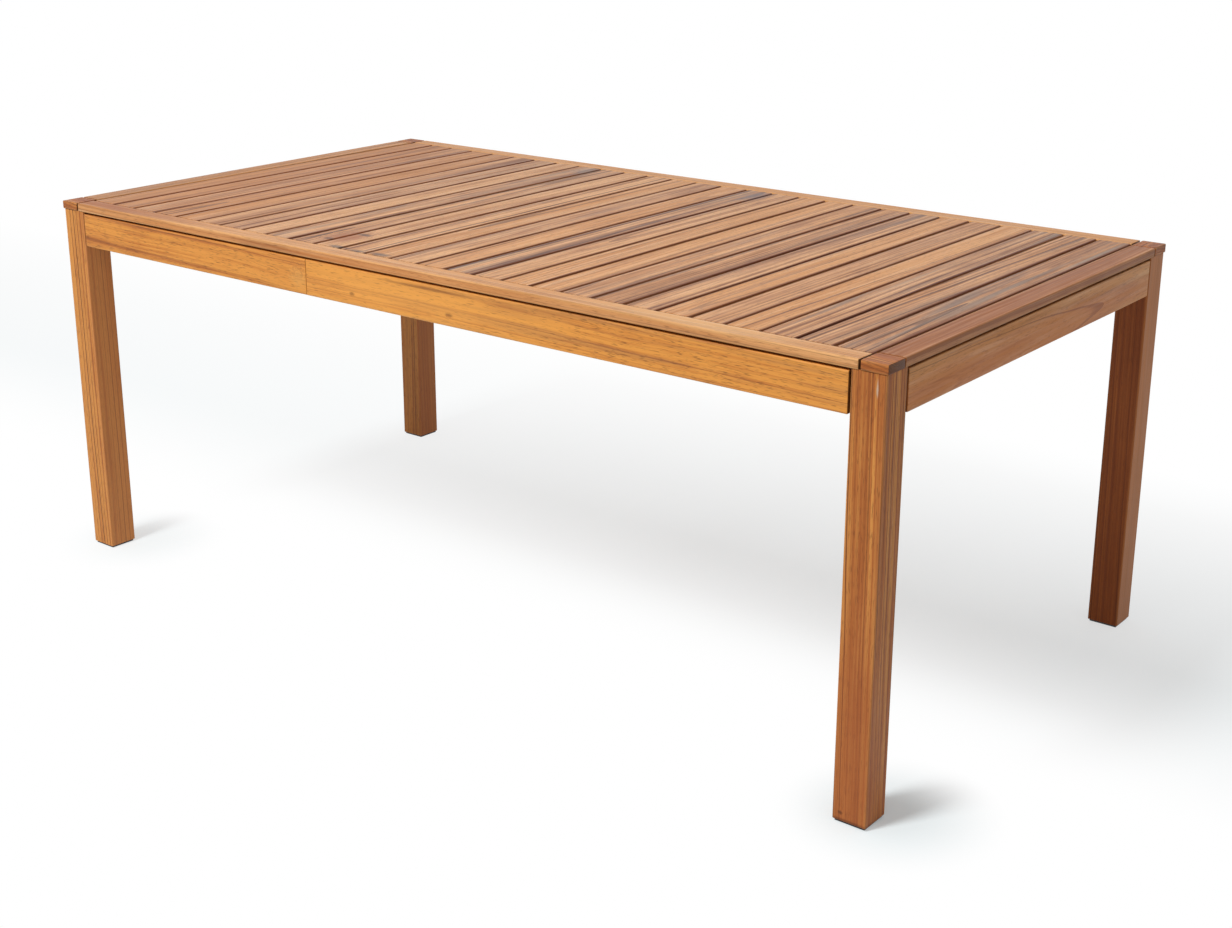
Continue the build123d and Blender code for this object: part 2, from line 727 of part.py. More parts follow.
os.makedirs("parts", exist_ok=True)
for node, shape in table().items():
    solid = Compound(children=shape) if isinstance(shape, list) else shape
    export_step(solid, f"parts/{node}.step")
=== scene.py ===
"""Slatted teak patio dining table: its looks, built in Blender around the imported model."""

import math

import bpy
from bpy.props import FloatProperty, FloatVectorProperty, IntProperty, PointerProperty
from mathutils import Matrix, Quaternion, Vector, noise


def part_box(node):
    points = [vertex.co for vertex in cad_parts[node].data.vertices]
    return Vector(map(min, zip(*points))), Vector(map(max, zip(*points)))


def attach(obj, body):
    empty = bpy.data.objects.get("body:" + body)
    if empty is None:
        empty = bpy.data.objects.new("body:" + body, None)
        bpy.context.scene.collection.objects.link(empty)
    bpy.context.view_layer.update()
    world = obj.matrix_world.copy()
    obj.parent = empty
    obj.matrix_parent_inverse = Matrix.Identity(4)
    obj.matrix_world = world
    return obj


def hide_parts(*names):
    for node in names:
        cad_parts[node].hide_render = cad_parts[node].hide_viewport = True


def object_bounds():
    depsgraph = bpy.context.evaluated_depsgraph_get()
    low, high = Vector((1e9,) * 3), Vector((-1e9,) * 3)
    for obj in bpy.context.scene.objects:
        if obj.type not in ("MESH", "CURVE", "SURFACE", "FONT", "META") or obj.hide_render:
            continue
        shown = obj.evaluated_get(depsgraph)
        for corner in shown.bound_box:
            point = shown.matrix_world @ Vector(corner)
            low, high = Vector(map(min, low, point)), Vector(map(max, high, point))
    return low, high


bl_info = {
    "name": "Patio Dining Table",
    "version": (1, 0, 0),
    "blender": (4, 5, 0),
    "location": "View3D > Sidebar > Patio Table",
    "description": "Dresses the slatted patio table in oiled teak and stands it on a white studio floor",
    "category": "Object",
}

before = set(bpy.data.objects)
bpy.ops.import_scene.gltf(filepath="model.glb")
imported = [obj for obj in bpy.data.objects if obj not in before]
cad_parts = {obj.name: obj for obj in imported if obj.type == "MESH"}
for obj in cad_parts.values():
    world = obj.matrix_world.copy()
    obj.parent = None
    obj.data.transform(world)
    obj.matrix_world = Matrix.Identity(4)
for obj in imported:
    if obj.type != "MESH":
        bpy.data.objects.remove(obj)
CAD_LOW, CAD_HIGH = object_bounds()

MM = 0.001
BODY = "root"
# Width of the photograph in pixels, width of the camera's sensor in mm, and how far the camera sees in metres
PHOTO_WIDTH = 1232
SENSOR_WIDTH = 36.0
SIGHT_LIMIT = 200.0

SLAT_NODES = sorted(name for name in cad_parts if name.startswith("slat_") and name != "slat_bearer")
FIRST_SLAT_LOW, FIRST_SLAT_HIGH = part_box(SLAT_NODES[0])
LAST_SLAT_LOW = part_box(SLAT_NODES[-1])[0]
RAIL_INNER_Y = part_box("back_edge_rail")[0].y
# Share seen of each front foot's own shadow, where its middle lies from the foot's, and its full core
FOOT_SHADES = {"front_left_leg": 0.4, "front_right_leg": 0.8}
FOOT_SHADE_SHIFT = Vector((30, 45, 0)) * MM
FOOT_SHADE_CORE = 20 * MM


def linear(code):
    """Linear colour of an sRGB hex code."""
    channels = [int(code[i:i + 2], 16) / 255 for i in (0, 2, 4)]
    return tuple(c / 12.92 if c <= 0.04045 else ((c + 0.055) / 1.055) ** 2.4 for c in channels)


def add(tree, kind, inputs=(), **settings):
    """Adds a node with its settings, and links or fills each input named or numbered."""
    node = tree.nodes.new(kind)
    for name, value in settings.items():
        setattr(node, name, value)
    for socket, value in dict(inputs).items():
        if isinstance(value, bpy.types.NodeSocket):
            tree.links.new(value, node.inputs[socket])
        else:
            node.inputs[socket].default_value = value
    return node


def put(name, data):
    """New object with some data, linked into the scene."""
    piece = bpy.data.objects.new(name, data)
    bpy.context.scene.collection.objects.link(piece)
    return piece


def empty_tree(block):
    """Emptied node tree of a material or a world."""
    block.use_nodes = True
    block.node_tree.nodes.clear()
    return block.node_tree


# Settings that a user would change


def colour(name, description, code):
    """Colour property with an sRGB hex code as its default."""
    return FloatVectorProperty(
        name=name, description=description, subtype="COLOR", min=0, max=1, default=linear(code))


def distance(name, description, millimetres):
    """Length property with its default in millimetres."""
    return FloatProperty(name=name, description=description, unit="LENGTH", default=millimetres * MM)


def position(name, description, metres):
    """Position property with its default in metres."""
    return FloatVectorProperty(name=name, description=description, subtype="TRANSLATION", default=metres)


def share(name, description, level):
    """Share property between none and all."""
    return FloatProperty(name=name, description=description, subtype="FACTOR", min=0, max=1, default=level)


def number(name, description, value):
    """Property for a number that is never below zero."""
    return FloatProperty(name=name, description=description, min=0, default=value)


def teak_settings(pale, middle, dark, warm, smoke, pore, contrast, fibre_width, ring_width, wander,
                  thread_share, thread_width, pore_share, gloss):
    """Settings of one teak, with its colours as sRGB hex codes and its lengths in millimetres."""
    return {
        "pale": colour("Pale wood", "Early wood between the growth lines", pale),
        "middle": colour("Middle wood", "Colour of most of a board", middle),
        "dark": colour("Dark wood", "Late wood and dark streaks", dark),
        "warm": colour("Warm wood", "Golden or red wood of the warmer boards", warm),
        "smoke": colour("Smoky streak", "Mineral streaks along some boards", smoke),
        "pore": colour("Pores", "Oil held in the open pores and growth lines", pore),
        "contrast": number("Contrast", "Strength of the light and dark figure", contrast),
        "fibre_length": distance("Fibre length", "Length of a fibre streak", 320),
        "fibre_width": distance("Fibre width", "Width of a fibre streak", fibre_width),
        "ring_width": distance("Ring width", "Distance between growth rings", ring_width),
        "wander": distance("Wander", "How far the growth rings wander along a board", wander),
        "thread_share": share("Growth lines", "Strength of the thin dark growth lines", thread_share),
        "thread_width": share("Growth line width", "Share of a ring that its dark line takes", thread_width),
        "pore_length": distance("Pore length", "Length of a pore", 18),
        "pore_width": distance("Pore width", "Width of a pore, drawn coarse enough to show", 1.2),
        "pore_share": share("Pore share", "Strength of the dark pores", pore_share),
        "gloss": share("Gloss", "Level of the oil's mirror-like reflection", gloss),
    }


class DeckTeak(bpy.types.PropertyGroup):
    """Teak of the slats, rails, end boards and end aprons: pinkish tan, streaked with brown and grey."""

    __annotations__ = teak_settings(
        pale="DCA673", middle="B98053", dark="6B3C20", warm="CC8A4A", smoke="77685F", pore="4C2C19",
        contrast=1.5, fibre_width=5.0, ring_width=6.5, wander=14,
        thread_share=0.8, thread_width=0.28, pore_share=0.5, gloss=0.3)


class FrameTeak(bpy.types.PropertyGroup):
    """Teak of the long aprons and the battens: golden orange, in soft broad bands."""

    __annotations__ = teak_settings(
        pale="DA8F3B", middle="B56A29", dark="713A17", warm="843C17", smoke="6A4A3A", pore="4A2811",
        contrast=1.2, fibre_width=3.2, ring_width=15, wander=26,
        thread_share=0.25, thread_width=0.2, pore_share=0.6, gloss=0.3)


class LegTeak(bpy.types.PropertyGroup):
    """Teak of the legs and corner blocks: red-brown, with fine dark growth lines."""

    __annotations__ = teak_settings(
        pale="D08A42", middle="AD6229", dark="6A3314", warm="84421E", smoke="6E4A2E", pore="4A220C",
        contrast=1.1, fibre_width=1.7, ring_width=4.6, wander=14,
        thread_share=0.9, thread_width=0.45, pore_share=0.5, gloss=0.22)


class BoardSizes(bpy.types.PropertyGroup):
    """Finish of the sawn boards, with painted highlights along their rounded edges and painted shade in the
    slats' gaps and at the sawn ends.
    """

    edge_ease: distance("Edge ease", "Rounding of the edges of the top's boards", 2.0)
    leg_ease: distance("Leg ease", "Rounding of the legs' and aprons' edges", 1.8)
    slat_ease: distance("Slat ease", "Rounding of the slats' edges", 1.6)
    end_ease: distance("End ease", "Rounding of the sawn ends' edges", 1.0)
    unevenness: distance("Unevenness", "Most that sanding has taken off a face", 0.35)
    # Painted shade in part: end grain is darker with oil, and this near-black colour also paints the shade in
    # the seams at the boards' ends
    end_grain_and_seam_shade: colour("Sawn end", "End grain, dark with the oil that it drinks", "4A2610")
    end_grain_and_seam_shade_share: share("Sawn end share", "How much the sawn ends take that colour", 0.8)
    # Painted shade in part: oil darkens the slats' rounded edges, and this dark colour down the slats' sides
    # also paints the shade in the gaps between them
    slat_edge_oil_and_gap_shade: colour("Slat edge", "Oil gathered along the slats' eased edges", "6A2C0C")
    # Painted highlight in part: edges wear pale, and this pale colour also paints the highlight along the
    # rounded edges, most strongly on the edge rails
    board_edge_wear_and_highlight: colour("Board edge", "Pale wear along the other boards' eased edges", "DDA766")
    slat_edge_oil_and_gap_shade_share: share("Slat edge share", "How much the slats' edges take their colour", 0.72)
    board_edge_wear_and_highlight_share: share("Board edge share", "How much the other boards' edges take their colour", 0.12)
    # Painted highlight: how strongly the pale edge colour lights up the edge rails' rounded edges
    rail_edge_wear_and_highlight_share: share("Rail edge share", "How much the edge rails' edges take that colour", 0.35)


class SlatDeck(bpy.types.PropertyGroup):
    """Row of slats between the edge rails."""

    count: IntProperty(
        name="Slats", description="Number of slats in the row", min=2, default=len(SLAT_NODES))
    pitch: FloatProperty(
        name="Pitch", description="Distance from one slat to the next", unit="LENGTH",
        default=(LAST_SLAT_LOW.x - FIRST_SLAT_LOW.x) / (len(SLAT_NODES) - 1))
    variation: distance("Width variation", "Most that a slat is narrower or wider than its fellows", 1.8)
    end_gap: distance("End gap", "Seam between a slat's end and the edge rail", 1.0)
    shift: distance("Shift", "Most that a slat lies to one side of its place", 0.9)
    sway: distance("Sway", "How far a slat's edges stray from straight", 0.7)
    seed: IntProperty(
        name="Seed", description="Seed of the slats' widths, places and figure", default=7)


class Studio(bpy.types.PropertyGroup):
    """Floor, light and camera."""

    floor_size: distance("Floor", "Side of the floor", 80000)
    floor_colour: colour("Floor colour", "Matt white floor", "EBF7FA")
    shade_right: share("Shade at the right", "Share of the shadow seen at the table's right end", 0.45)
    shade_left: share("Shade at the left", "Share of the shadow seen at the table's left end", 0.22)
    shade_front: distance("Shade from", "Place along Y where the seen shadow starts", -200)
    shade_deep: distance("Shade deepest", "Place along Y where the seen shadow is deepest", 320)
    shade_back: distance("Shade to", "Place along Y where the seen shadow ends", 1350)
    foot_reach: distance("Foot shade reach", "How far a foot's own shadow is seen", 190)
    key_level: share("Key level", "Brightness of a white table top in the key lamp's light", 0.585)
    key_place: position("Key lamp", "Where the key lamp stands", (-0.7, -3.9, 5.3))
    key_size: distance("Key size", "Width of the key lamp's soft box", 1300)
    sky_level: number("Sky level", "Brightness of the white surroundings as a light", 0.42)
    camera_place: position("Camera", "Where the camera stands", (2.12846, -2.62107, 1.44097))
    camera_aim: position("Aim", "Point on the camera's axis", (0.10071, -0.03118, 0.4))
    camera_roll: FloatProperty(
        name="Roll", description="Turn of the camera about its axis", subtype="ANGLE", default=0.0019)
    focal_pixels: number("Focal length", "Focal length in pixels of the photograph", 1792.5)
    shift_pixels: number("Shift", "Shift of the frame below the axis, in pixels of the photograph", 60.0)


class PatioTable(bpy.types.PropertyGroup):
    """All settings of the table."""

    deck_teak: PointerProperty(type=DeckTeak)
    frame_teak: PointerProperty(type=FrameTeak)
    leg_teak: PointerProperty(type=LegTeak)
    boards: PointerProperty(type=BoardSizes)
    slats: PointerProperty(type=SlatDeck)
    studio: PointerProperty(type=Studio)


# Materials

# A mark on the wood: notches in its edge and how deep they are, and where the edge ends and where the mark is
# full, all for half of the mark's size
MARK_NOTCHES = 3.5
MARK_NOTCH_DEPTH = 0.7
MARK_END = 1.35
MARK_FULL = 0.55

# Figure of all the teak: waves per metre in the drift of the grain, along and across a board
DRIFT_WAVES = (1.1, 6.0, 6.0)
# Where the late wood of a growth ring starts and is darkest
LATE_WOOD = (0.45, 0.97)
# Chances between which a ring's dark line comes in, and the share of that line which is fully dark
LINE_CHANCE = (0.3, 0.95)
LINE_CORE = 0.3
# Depth of colour at which wood has its middle colour, and at which it is dark
MIDDLE_DEPTH = 0.55
DARK_DEPTH = 1.25
# Bounds that most noise lies between, and the roughness of an oil finish at each of them
NOISE_LOW, NOISE_HIGH = 0.3, 0.7
SATIN_LOW, SATIN_HIGH = 0.40, 0.56
# How far the pores sink, for the height of a fibre
PORE_SINK = 1.2


def new_material(name):
    """Empty node material with its tree, shader and output."""
    material = bpy.data.materials.new(name)
    tree = empty_tree(material)
    shader = add(tree, "ShaderNodeBsdfPrincipled")
    add(tree, "ShaderNodeOutputMaterial", {"Surface": shader.outputs[0]})
    return material, tree, shader


def near_mark(tree, place, half_size):
    """1 in the middle of a mark on the wood, falling to 0 at its ragged edge."""
    here = add(tree, "ShaderNodeTexCoord").outputs["Object"]
    fit = add(tree, "ShaderNodeVectorMath", {0: here, 1: Vector(half_size) * MM},
              operation="DIVIDE").outputs[0]
    middle = [p / h for p, h in zip(place, half_size)]
    away = add(tree, "ShaderNodeVectorMath", {0: fit, 1: middle}, operation="DISTANCE").outputs["Value"]
    ragged = add(tree, "ShaderNodeTexNoise", {"Vector": fit, "Scale": MARK_NOTCHES, "Detail": 3.0})
    reach = add(tree, "ShaderNodeMath", {0: ragged.outputs[0], 1: MARK_NOTCH_DEPTH, 2: away},
                operation="MULTIPLY_ADD")
    return add(tree, "ShaderNodeMapRange",
               {"Value": reach.outputs[0], "From Min": MARK_END, "From Max": MARK_FULL},
               interpolation_type="SMOOTHSTEP").outputs[0]


def teak_nodes(tree, shader, look, grain, tone, rims=(), marks=()):
    """Planed, oiled teak. The eye sees long fibre streaks, growth lines that run nearly parallel and end
    sharply on one side, short dark pores, some smoky bands and a satin gloss that pales at a low angle."""
    swing = look.wander
    calm = add(tree, "ShaderNodeVectorMath", {0: grain, 1: DRIFT_WAVES}, operation="MULTIPLY")
    drift = add(tree, "ShaderNodeTexNoise", {"Vector": calm.outputs[0], "Scale": 1.0, "Detail": 3.0})
    sway = add(tree, "ShaderNodeVectorMath",
               {0: drift.outputs["Color"], 1: (0, swing, swing), 2: (0, -swing / 2, -swing / 2)},
               operation="MULTIPLY_ADD")
    bent = add(tree, "ShaderNodeVectorMath", {0: grain, 1: sway.outputs[0]}, operation="ADD").outputs[0]

    # Growth rings, counted outwards from the heart of the tree and pushed aside by knots
    across = add(tree, "ShaderNodeVectorMath", {0: bent, 1: (0, 1, 1)}, operation="MULTIPLY")
    radius = add(tree, "ShaderNodeVectorMath", {0: across.outputs[0]}, operation="LENGTH").outputs["Value"]
    layer_colours = []
    for place, half_size, layer_colour, strength, swell in marks:
        near = near_mark(tree, place, half_size)
        radius = add(tree, "ShaderNodeMath", {0: near, 1: swell * MM, 2: radius},
                     operation="MULTIPLY_ADD").outputs[0]
        layer_coloured = add(tree, "ShaderNodeMath", {0: near, 1: strength}, operation="MULTIPLY").outputs[0]
        layer_colours.append((layer_coloured, linear(layer_colour)))
    rings = 1 / look.ring_width
    growth = add(tree, "ShaderNodeTexNoise",
                 {"W": radius, "Scale": rings, "Detail": 4.0, "Roughness": 0.62},
                 noise_dimensions="1D").outputs[0]
    count = add(tree, "ShaderNodeMath", {0: radius, 1: rings, 2: growth}, operation="MULTIPLY_ADD").outputs[0]
    ring = add(tree, "ShaderNodeMath", {0: count}, operation="FRACT").outputs[0]
    which = add(tree, "ShaderNodeMath", {0: count}, operation="FLOOR").outputs[0]
    chance = add(tree, "ShaderNodeTexWhiteNoise", {"W": which}, noise_dimensions="1D").outputs[0]
    line = add(tree, "ShaderNodeMapRange",
               {"Value": ring, "From Min": LATE_WOOD[0], "From Max": LATE_WOOD[1], "To Max": chance},
               interpolation_type="SMOOTHSTEP").outputs[0]
    some = add(tree, "ShaderNodeMapRange",
               {"Value": chance, "From Min": LINE_CHANCE[0], "From Max": LINE_CHANCE[1],
                "To Max": look.thread_share}).outputs[0]
    thread = add(tree, "ShaderNodeMapRange",
                 {"Value": ring, "From Min": 1 - look.thread_width,
                  "From Max": 1 - LINE_CORE * look.thread_width, "To Max": some},
                 interpolation_type="SMOOTHSTEP").outputs[0]

    # Streaks along the board: length, width, and how finely each kind is broken up
    patterns = {}
    for name, length, width, detail in (
        ("fibre", look.fibre_length, look.fibre_width, 4.0),
        ("pore", look.pore_length, look.pore_width, 1.0),
        ("band", 1100 * MM, 24 * MM, 2.0),
        ("haze", 450 * MM, 14 * MM, 3.0),
        ("glow", 700 * MM, 10 * MM, 2.0),
        ("curl", 90 * MM, 30 * MM, 2.0),
    ):
        fit = add(tree, "ShaderNodeVectorMath", {0: bent, 1: (1 / length, 1 / width, 1 / width)},
                  operation="MULTIPLY")
        patterns[name] = add(tree, "ShaderNodeTexNoise",
                             {"Vector": fit.outputs[0], "Scale": 1.0, "Detail": detail}).outputs[0]
    tones = add(tree, "ShaderNodeSeparateXYZ", {0: tone}).outputs

    # Depth of colour, from pale to dark: each pattern with its mean and how much it counts
    depth = add(tree, "ShaderNodeMath", {0: tones[0], 1: 0.5}, operation="ADD").outputs[0]
    for pattern, mean, weight in (
        (growth, 0.5, 1.35),
        (patterns["fibre"], 0.5, 1.0),
        (patterns["band"], 0.5, 1.1),
        (patterns["curl"], 0.5, 0.5),
        (line, 0.15, 0.45),
    ):
        shift = add(tree, "ShaderNodeMath", {0: pattern, 1: mean}, operation="SUBTRACT")
        depth = add(tree, "ShaderNodeMath", {0: shift.outputs[0], 1: weight * look.contrast, 2: depth},
                    operation="MULTIPLY_ADD").outputs[0]
    paler = add(tree, "ShaderNodeMapRange", {"Value": depth, "From Max": MIDDLE_DEPTH}).outputs[0]
    darker = add(tree, "ShaderNodeMapRange",
                 {"Value": depth, "From Min": MIDDLE_DEPTH, "From Max": DARK_DEPTH}).outputs[0]
    wood = add(tree, "ShaderNodeMix", {0: paler, 6: (*look.pale, 1), 7: (*look.middle, 1)},
               data_type="RGBA").outputs[2]

    # Warm wood, smoky streaks and pores: where each starts to show, where it is full, and how strong it gets
    shown = {}
    for name, start, full, most in (
        ("glow", 0.25, 0.62, tones[1]),
        ("haze", 0.45, 0.68, tones[2]),
        ("pore", 0.57, 0.72, look.pore_share),
    ):
        shown[name] = add(tree, "ShaderNodeMapRange",
                          {"Value": patterns[name], "From Min": start, "From Max": full, "To Max": most},
                          interpolation_type="SMOOTHSTEP").outputs[0]

    # Colours laid over one another: the figure, then edges and sawn ends, whose colours are partly painted
    # highlight and painted shade, then marks, some of which are painted light and shade on single faces
    for amount, layer_colour in (
        (darker, look.dark),
        (shown["glow"], look.warm),
        (shown["haze"], look.smoke),
        (thread, look.pore),
        (shown["pore"], look.pore),
        *rims,
        *layer_colours,
    ):
        wood = add(tree, "ShaderNodeMix", {0: amount, 6: wood, 7: (*layer_colour, 1)}, data_type="RGBA").outputs[2]
    tree.links.new(wood, shader.inputs["Base Color"])

    # Satin oil finish that varies with the fibres, and sunken pores
    shader.inputs["Specular IOR Level"].default_value = look.gloss
    rough = add(tree, "ShaderNodeMapRange",
                {"Value": patterns["fibre"], "From Min": NOISE_LOW, "From Max": NOISE_HIGH,
                 "To Min": SATIN_LOW, "To Max": SATIN_HIGH})
    tree.links.new(rough.outputs[0], shader.inputs["Roughness"])
    relief = add(tree, "ShaderNodeMath", {0: shown["pore"], 1: -PORE_SINK, 2: patterns["fibre"]},
                 operation="MULTIPLY_ADD")
    bump = add(tree, "ShaderNodeBump",
               {"Height": relief.outputs[0], "Strength": 0.35, "Distance": 0.25 * MM})
    tree.links.new(bump.outputs[0], shader.inputs["Normal"])


def board_teak(name, look, boards, edge_colour, edge_share, marks):
    """Teak of a board that carries its own grain, tone, sawn ends and eased edges."""
    material, tree, shader = new_material(name)
    grain = add(tree, "ShaderNodeAttribute", attribute_name="grain").outputs["Vector"]
    tone = add(tree, "ShaderNodeAttribute", attribute_name="tone").outputs["Vector"]
    rims = []
    for rim, amount, layer_colour in (
        ("edge", edge_share, edge_colour),
        ("end_grain", boards.end_grain_and_seam_shade_share, boards.end_grain_and_seam_shade),
    ):
        near = add(tree, "ShaderNodeAttribute", attribute_name=rim).outputs["Fac"]
        layer_coloured = add(tree, "ShaderNodeMath", {0: near, 1: amount}, operation="MULTIPLY").outputs[0]
        rims.append((layer_coloured, layer_colour))
    teak_nodes(tree, shader, look, grain, tone, rims, marks)
    return material


def batten_teak(name, look, axis, tone, offset):
    """Teak of sawn battens under the top, with its grain laid out along one axis of the table."""
    material, tree, shader = new_material(name)
    here = add(tree, "ShaderNodeTexCoord").outputs["Object"]
    spot = add(tree, "ShaderNodeSeparateXYZ", {0: here}).outputs
    order = {"X": (0, 1, 2), "Y": (1, 0, 2)}[axis]
    along = add(tree, "ShaderNodeCombineXYZ", {k: spot[order[k]] for k in range(3)})
    grain = add(tree, "ShaderNodeVectorMath", {0: along.outputs[0], 1: offset}, operation="ADD").outputs[0]
    teak_nodes(tree, shader, look, grain, tone)
    return material


def mottled(name, colours, clouds, sheen, relief, metallic=0.0, stretch=(1, 1, 1)):
    """Material clouded between two colours, with a sheen and a relief that vary as well.
    Each of these three follows a noise and starts with that noise's grain in mm and its detail. Clouds go on
    with where the second colour starts and is full, sheen with the least and the most roughness, and relief
    with its strength and its depth in mm."""
    material, tree, shader = new_material(name)
    here = add(tree, "ShaderNodeTexCoord").outputs["Object"]
    fit = add(tree, "ShaderNodeVectorMath", {0: here, 1: stretch}, operation="MULTIPLY").outputs[0]
    cloud, gloss, height = [
        add(tree, "ShaderNodeTexNoise",
            {"Vector": fit, "Scale": 1 / (grain * MM), "Detail": detail}).outputs[0]
        for grain, detail, *_ in (clouds, sheen, relief)
    ]
    second = add(tree, "ShaderNodeMapRange", {"Value": cloud, "From Min": clouds[2], "From Max": clouds[3]})
    skin = add(tree, "ShaderNodeMix",
               {0: second.outputs[0], 6: (*linear(colours[0]), 1), 7: (*linear(colours[1]), 1)},
               data_type="RGBA")
    rough = add(tree, "ShaderNodeMapRange",
                {"Value": gloss, "From Min": NOISE_LOW, "From Max": NOISE_HIGH,
                 "To Min": sheen[2], "To Max": sheen[3]})
    bump = add(tree, "ShaderNodeBump", {"Height": height, "Strength": relief[2], "Distance": relief[3] * MM})
    shader.inputs["Metallic"].default_value = metallic
    tree.links.new(skin.outputs[2], shader.inputs["Base Color"])
    tree.links.new(rough.outputs[0], shader.inputs["Roughness"])
    tree.links.new(bump.outputs[0], shader.inputs["Normal"])
    return material


def zinc_steel():
    """Pressed steel, barrel plated with zinc. The eye sees a bright bluish grey metal, clouded in soft
    patches a few millimetres wide, with fine scuffs."""
    return mottled("Zinc plated steel", ("AEB4BA", "D2D3CC"), clouds=(6, 3.0, 0.35, 0.65),
                   sheen=(6, 3.0, 0.26, 0.46), relief=(0.7, 2.0, 0.2, 0.05), metallic=1.0)


def black_nylon():
    """Moulded nylon. The eye sees a soft black with a fine spark-eroded grain and grey scuffs."""
    return mottled("Moulded black nylon", ("17181A", "34353A"), clouds=(9, 4.0, 0.5, 0.75),
                   sheen=(0.6, 2.0, 0.42, 0.62), relief=(0.6, 2.0, 0.3, 0.08))


def turned_beech():
    """Turned beech. The eye sees pale straw wood with short darker flecks and a dry, matt surface."""
    return mottled("Turned beech", ("DDBE94", "B08A5C"), clouds=(0.7, 2.0, 0.5, 0.68),
                   sheen=(0.7, 2.0, 0.595, 0.655), relief=(0.7, 2.0, 0.2, 0.1), stretch=(0.35, 1, 1))


# Boards

# Each visible board: the axis its fibres follow, its tone (dark, warm, smoky), where the heart of the tree
# lies from its middle, in mm, and how much the fibres lean towards it
EDGE_RAILS = {
    "front_edge_rail": ("X", (-0.28, 0.60, 0.0), (60, -45), (0.004, 0.010)),
    "back_edge_rail": ("X", (-0.35, 0.85, 0.0), (-50, -45), (-0.003, 0.012)),
}
END_BOARDS = {
    "left_end_board": ("Y", (0.40, 0.60, 0.1), (60, -25), (0.010, 0.004)),
    "right_end_board": ("Y", (0.50, 0.15, 0.1), (45, -60), (0.006, 0.008)),
}
CORNER_BLOCKS = {
    "front_left_corner_block": ("X", (0.10, 0.45, 0.0), (5, -28), (0.10, 0.05)),
    "front_right_corner_block": ("X", (0.05, 0.25, 0.1), (-6, -30), (0.08, 0.04)),
    "back_left_corner_block": ("X", (0.10, 0.50, 0.0), (12, -35), (0.08, -0.05)),
    "back_right_corner_block": ("Y", (0.10, 0.30, 0.0), (-10, -32), (-0.06, 0.05)),
}
APRON_BOARDS = {
    "front_apron_left": ("X", (-0.24, 0.10, 0.0), (45, 60), (0.020, 0.012)),
    "front_apron_right": ("X", (-0.42, 0.0, 0.3), (40, -85), (-0.010, 0.012)),
    "back_apron_left": ("X", (-0.25, 0.05, 0.1), (60, 15), (0.010, 0.005)),
    "back_apron_right": ("X", (-0.35, 0.0, 0.0), (-50, 20), (-0.012, 0.004)),
}
LEGS = {
    "front_left_leg": ("Z", (-0.28, 0.0, 0.0), (-75, 60), (0.016, 0.012)),
    "front_right_leg": ("Z", (0.0, 0.30, 0.0), (95, 80), (0.010, 0.006)),
    "back_left_leg": ("Z", (-0.30, 0.50, 0.0), (60, -60), (-0.010, 0.006)),
    "back_right_leg": ("Z", (0.50, 0.25, 0.0), (-40, 70), (0.008, -0.010)),
}
END_APRONS = {
    "left_end_apron": ("Y", (0.05, 0.70, 0.10), (50, -12), (0.010, 0.003)),
    "right_end_apron": ("Y", (-0.06, 0.80, 0.05), (70, 14), (0.02, -0.02)),
}

# Tones that slats have (dark, warm, smoky), and the tone of each slat from left to right
SLAT_TONES = {
    "pale": (-0.22, 0.05, 0.0),
    "tan": (-0.08, 0.15, 0.15),
    "golden": (-0.10, 0.65, 0.0),
    "rust": (0.30, 0.60, 0.0),
    "pink": (0.02, 0.0, 0.25),
    "brown": (0.14, 0.20, 0.3),
    "grey": (0.06, 0.0, 0.5),
    "smoky": (0.08, 0.0, 0.75),
}
SLAT_ROW = (
    "rust", "rust", "brown", "rust", "rust", "brown", "pink",
    "pale", "grey", "pink", "pale", "pale", "golden", "pink",
    "golden", "grey", "tan", "golden", "golden", "brown", "brown",
    "grey", "golden", "tan", "golden", "smoky", "brown", "smoky",
)

# Marks on the wood: middle and half sizes in mm, colour, how strong it is, and how far it pushes the
# growth rings aside, in mm. Most are stains, knots and streaks; some on the front rail and the legs are
# painted light and shade on single faces
DECK_MARKS = (
    ((-800, 0, 740), (330, 900, 30), "A05A20", 0.3, 0),
    ((-250, -385, 740), (50, 75, 20), "94512A", 0.75, 20),
    ((-236, -352, 740), (26, 12, 20), "4A342A", 0.85, 6),
    ((-268, -412, 740), (18, 11, 20), "4E2812", 0.85, 6),
    ((-205, -452, 740), (30, 13, 20), "4C4340", 0.75, 3),
    ((-152, -455, 740), (34, 11, 20), "4C4340", 0.7, 3),
    ((-98, -450, 740), (36, 15, 20), "48403E", 0.75, 3),
    ((-335, 420, 740), (30, 60, 20), "7C7470", 0.5, 2),
    ((120, 410, 740), (34, 70, 20), "75696A", 0.5, 2),
)
RAIL_MARKS = (
    ((600, -478, 742), (280, 40, 12), "F2C48A", 0.35, 0),
    ((-900, -478, 742), (480, 40, 14), "8A4000", 0.75, 0),
    # Painted shade: darkens the front rail's whole front face against its top
    ((-100, -502, 729), (1400, 4, 26), "B05C10", 0.6, 0),
    ((-330, -502, 728), (160, 4, 20), "6A330F", 0.5, 4),
)
APRON_MARKS = (
    ((20, -498, 685), (460, 8, 60), "EAA24C", 0.4, 0),
    ((-123, -498, 675), (9, 8, 5), "6A3A18", 0.6, 7),
    ((109, -498, 674), (12, 8, 5), "6A3A18", 0.6, 7),
    ((60, -498, 712), (150, 8, 4), "5C3116", 0.6, 3),
    ((-262, -498, 684), (30, 8, 26), "D9A055", 0.35, 22),
)
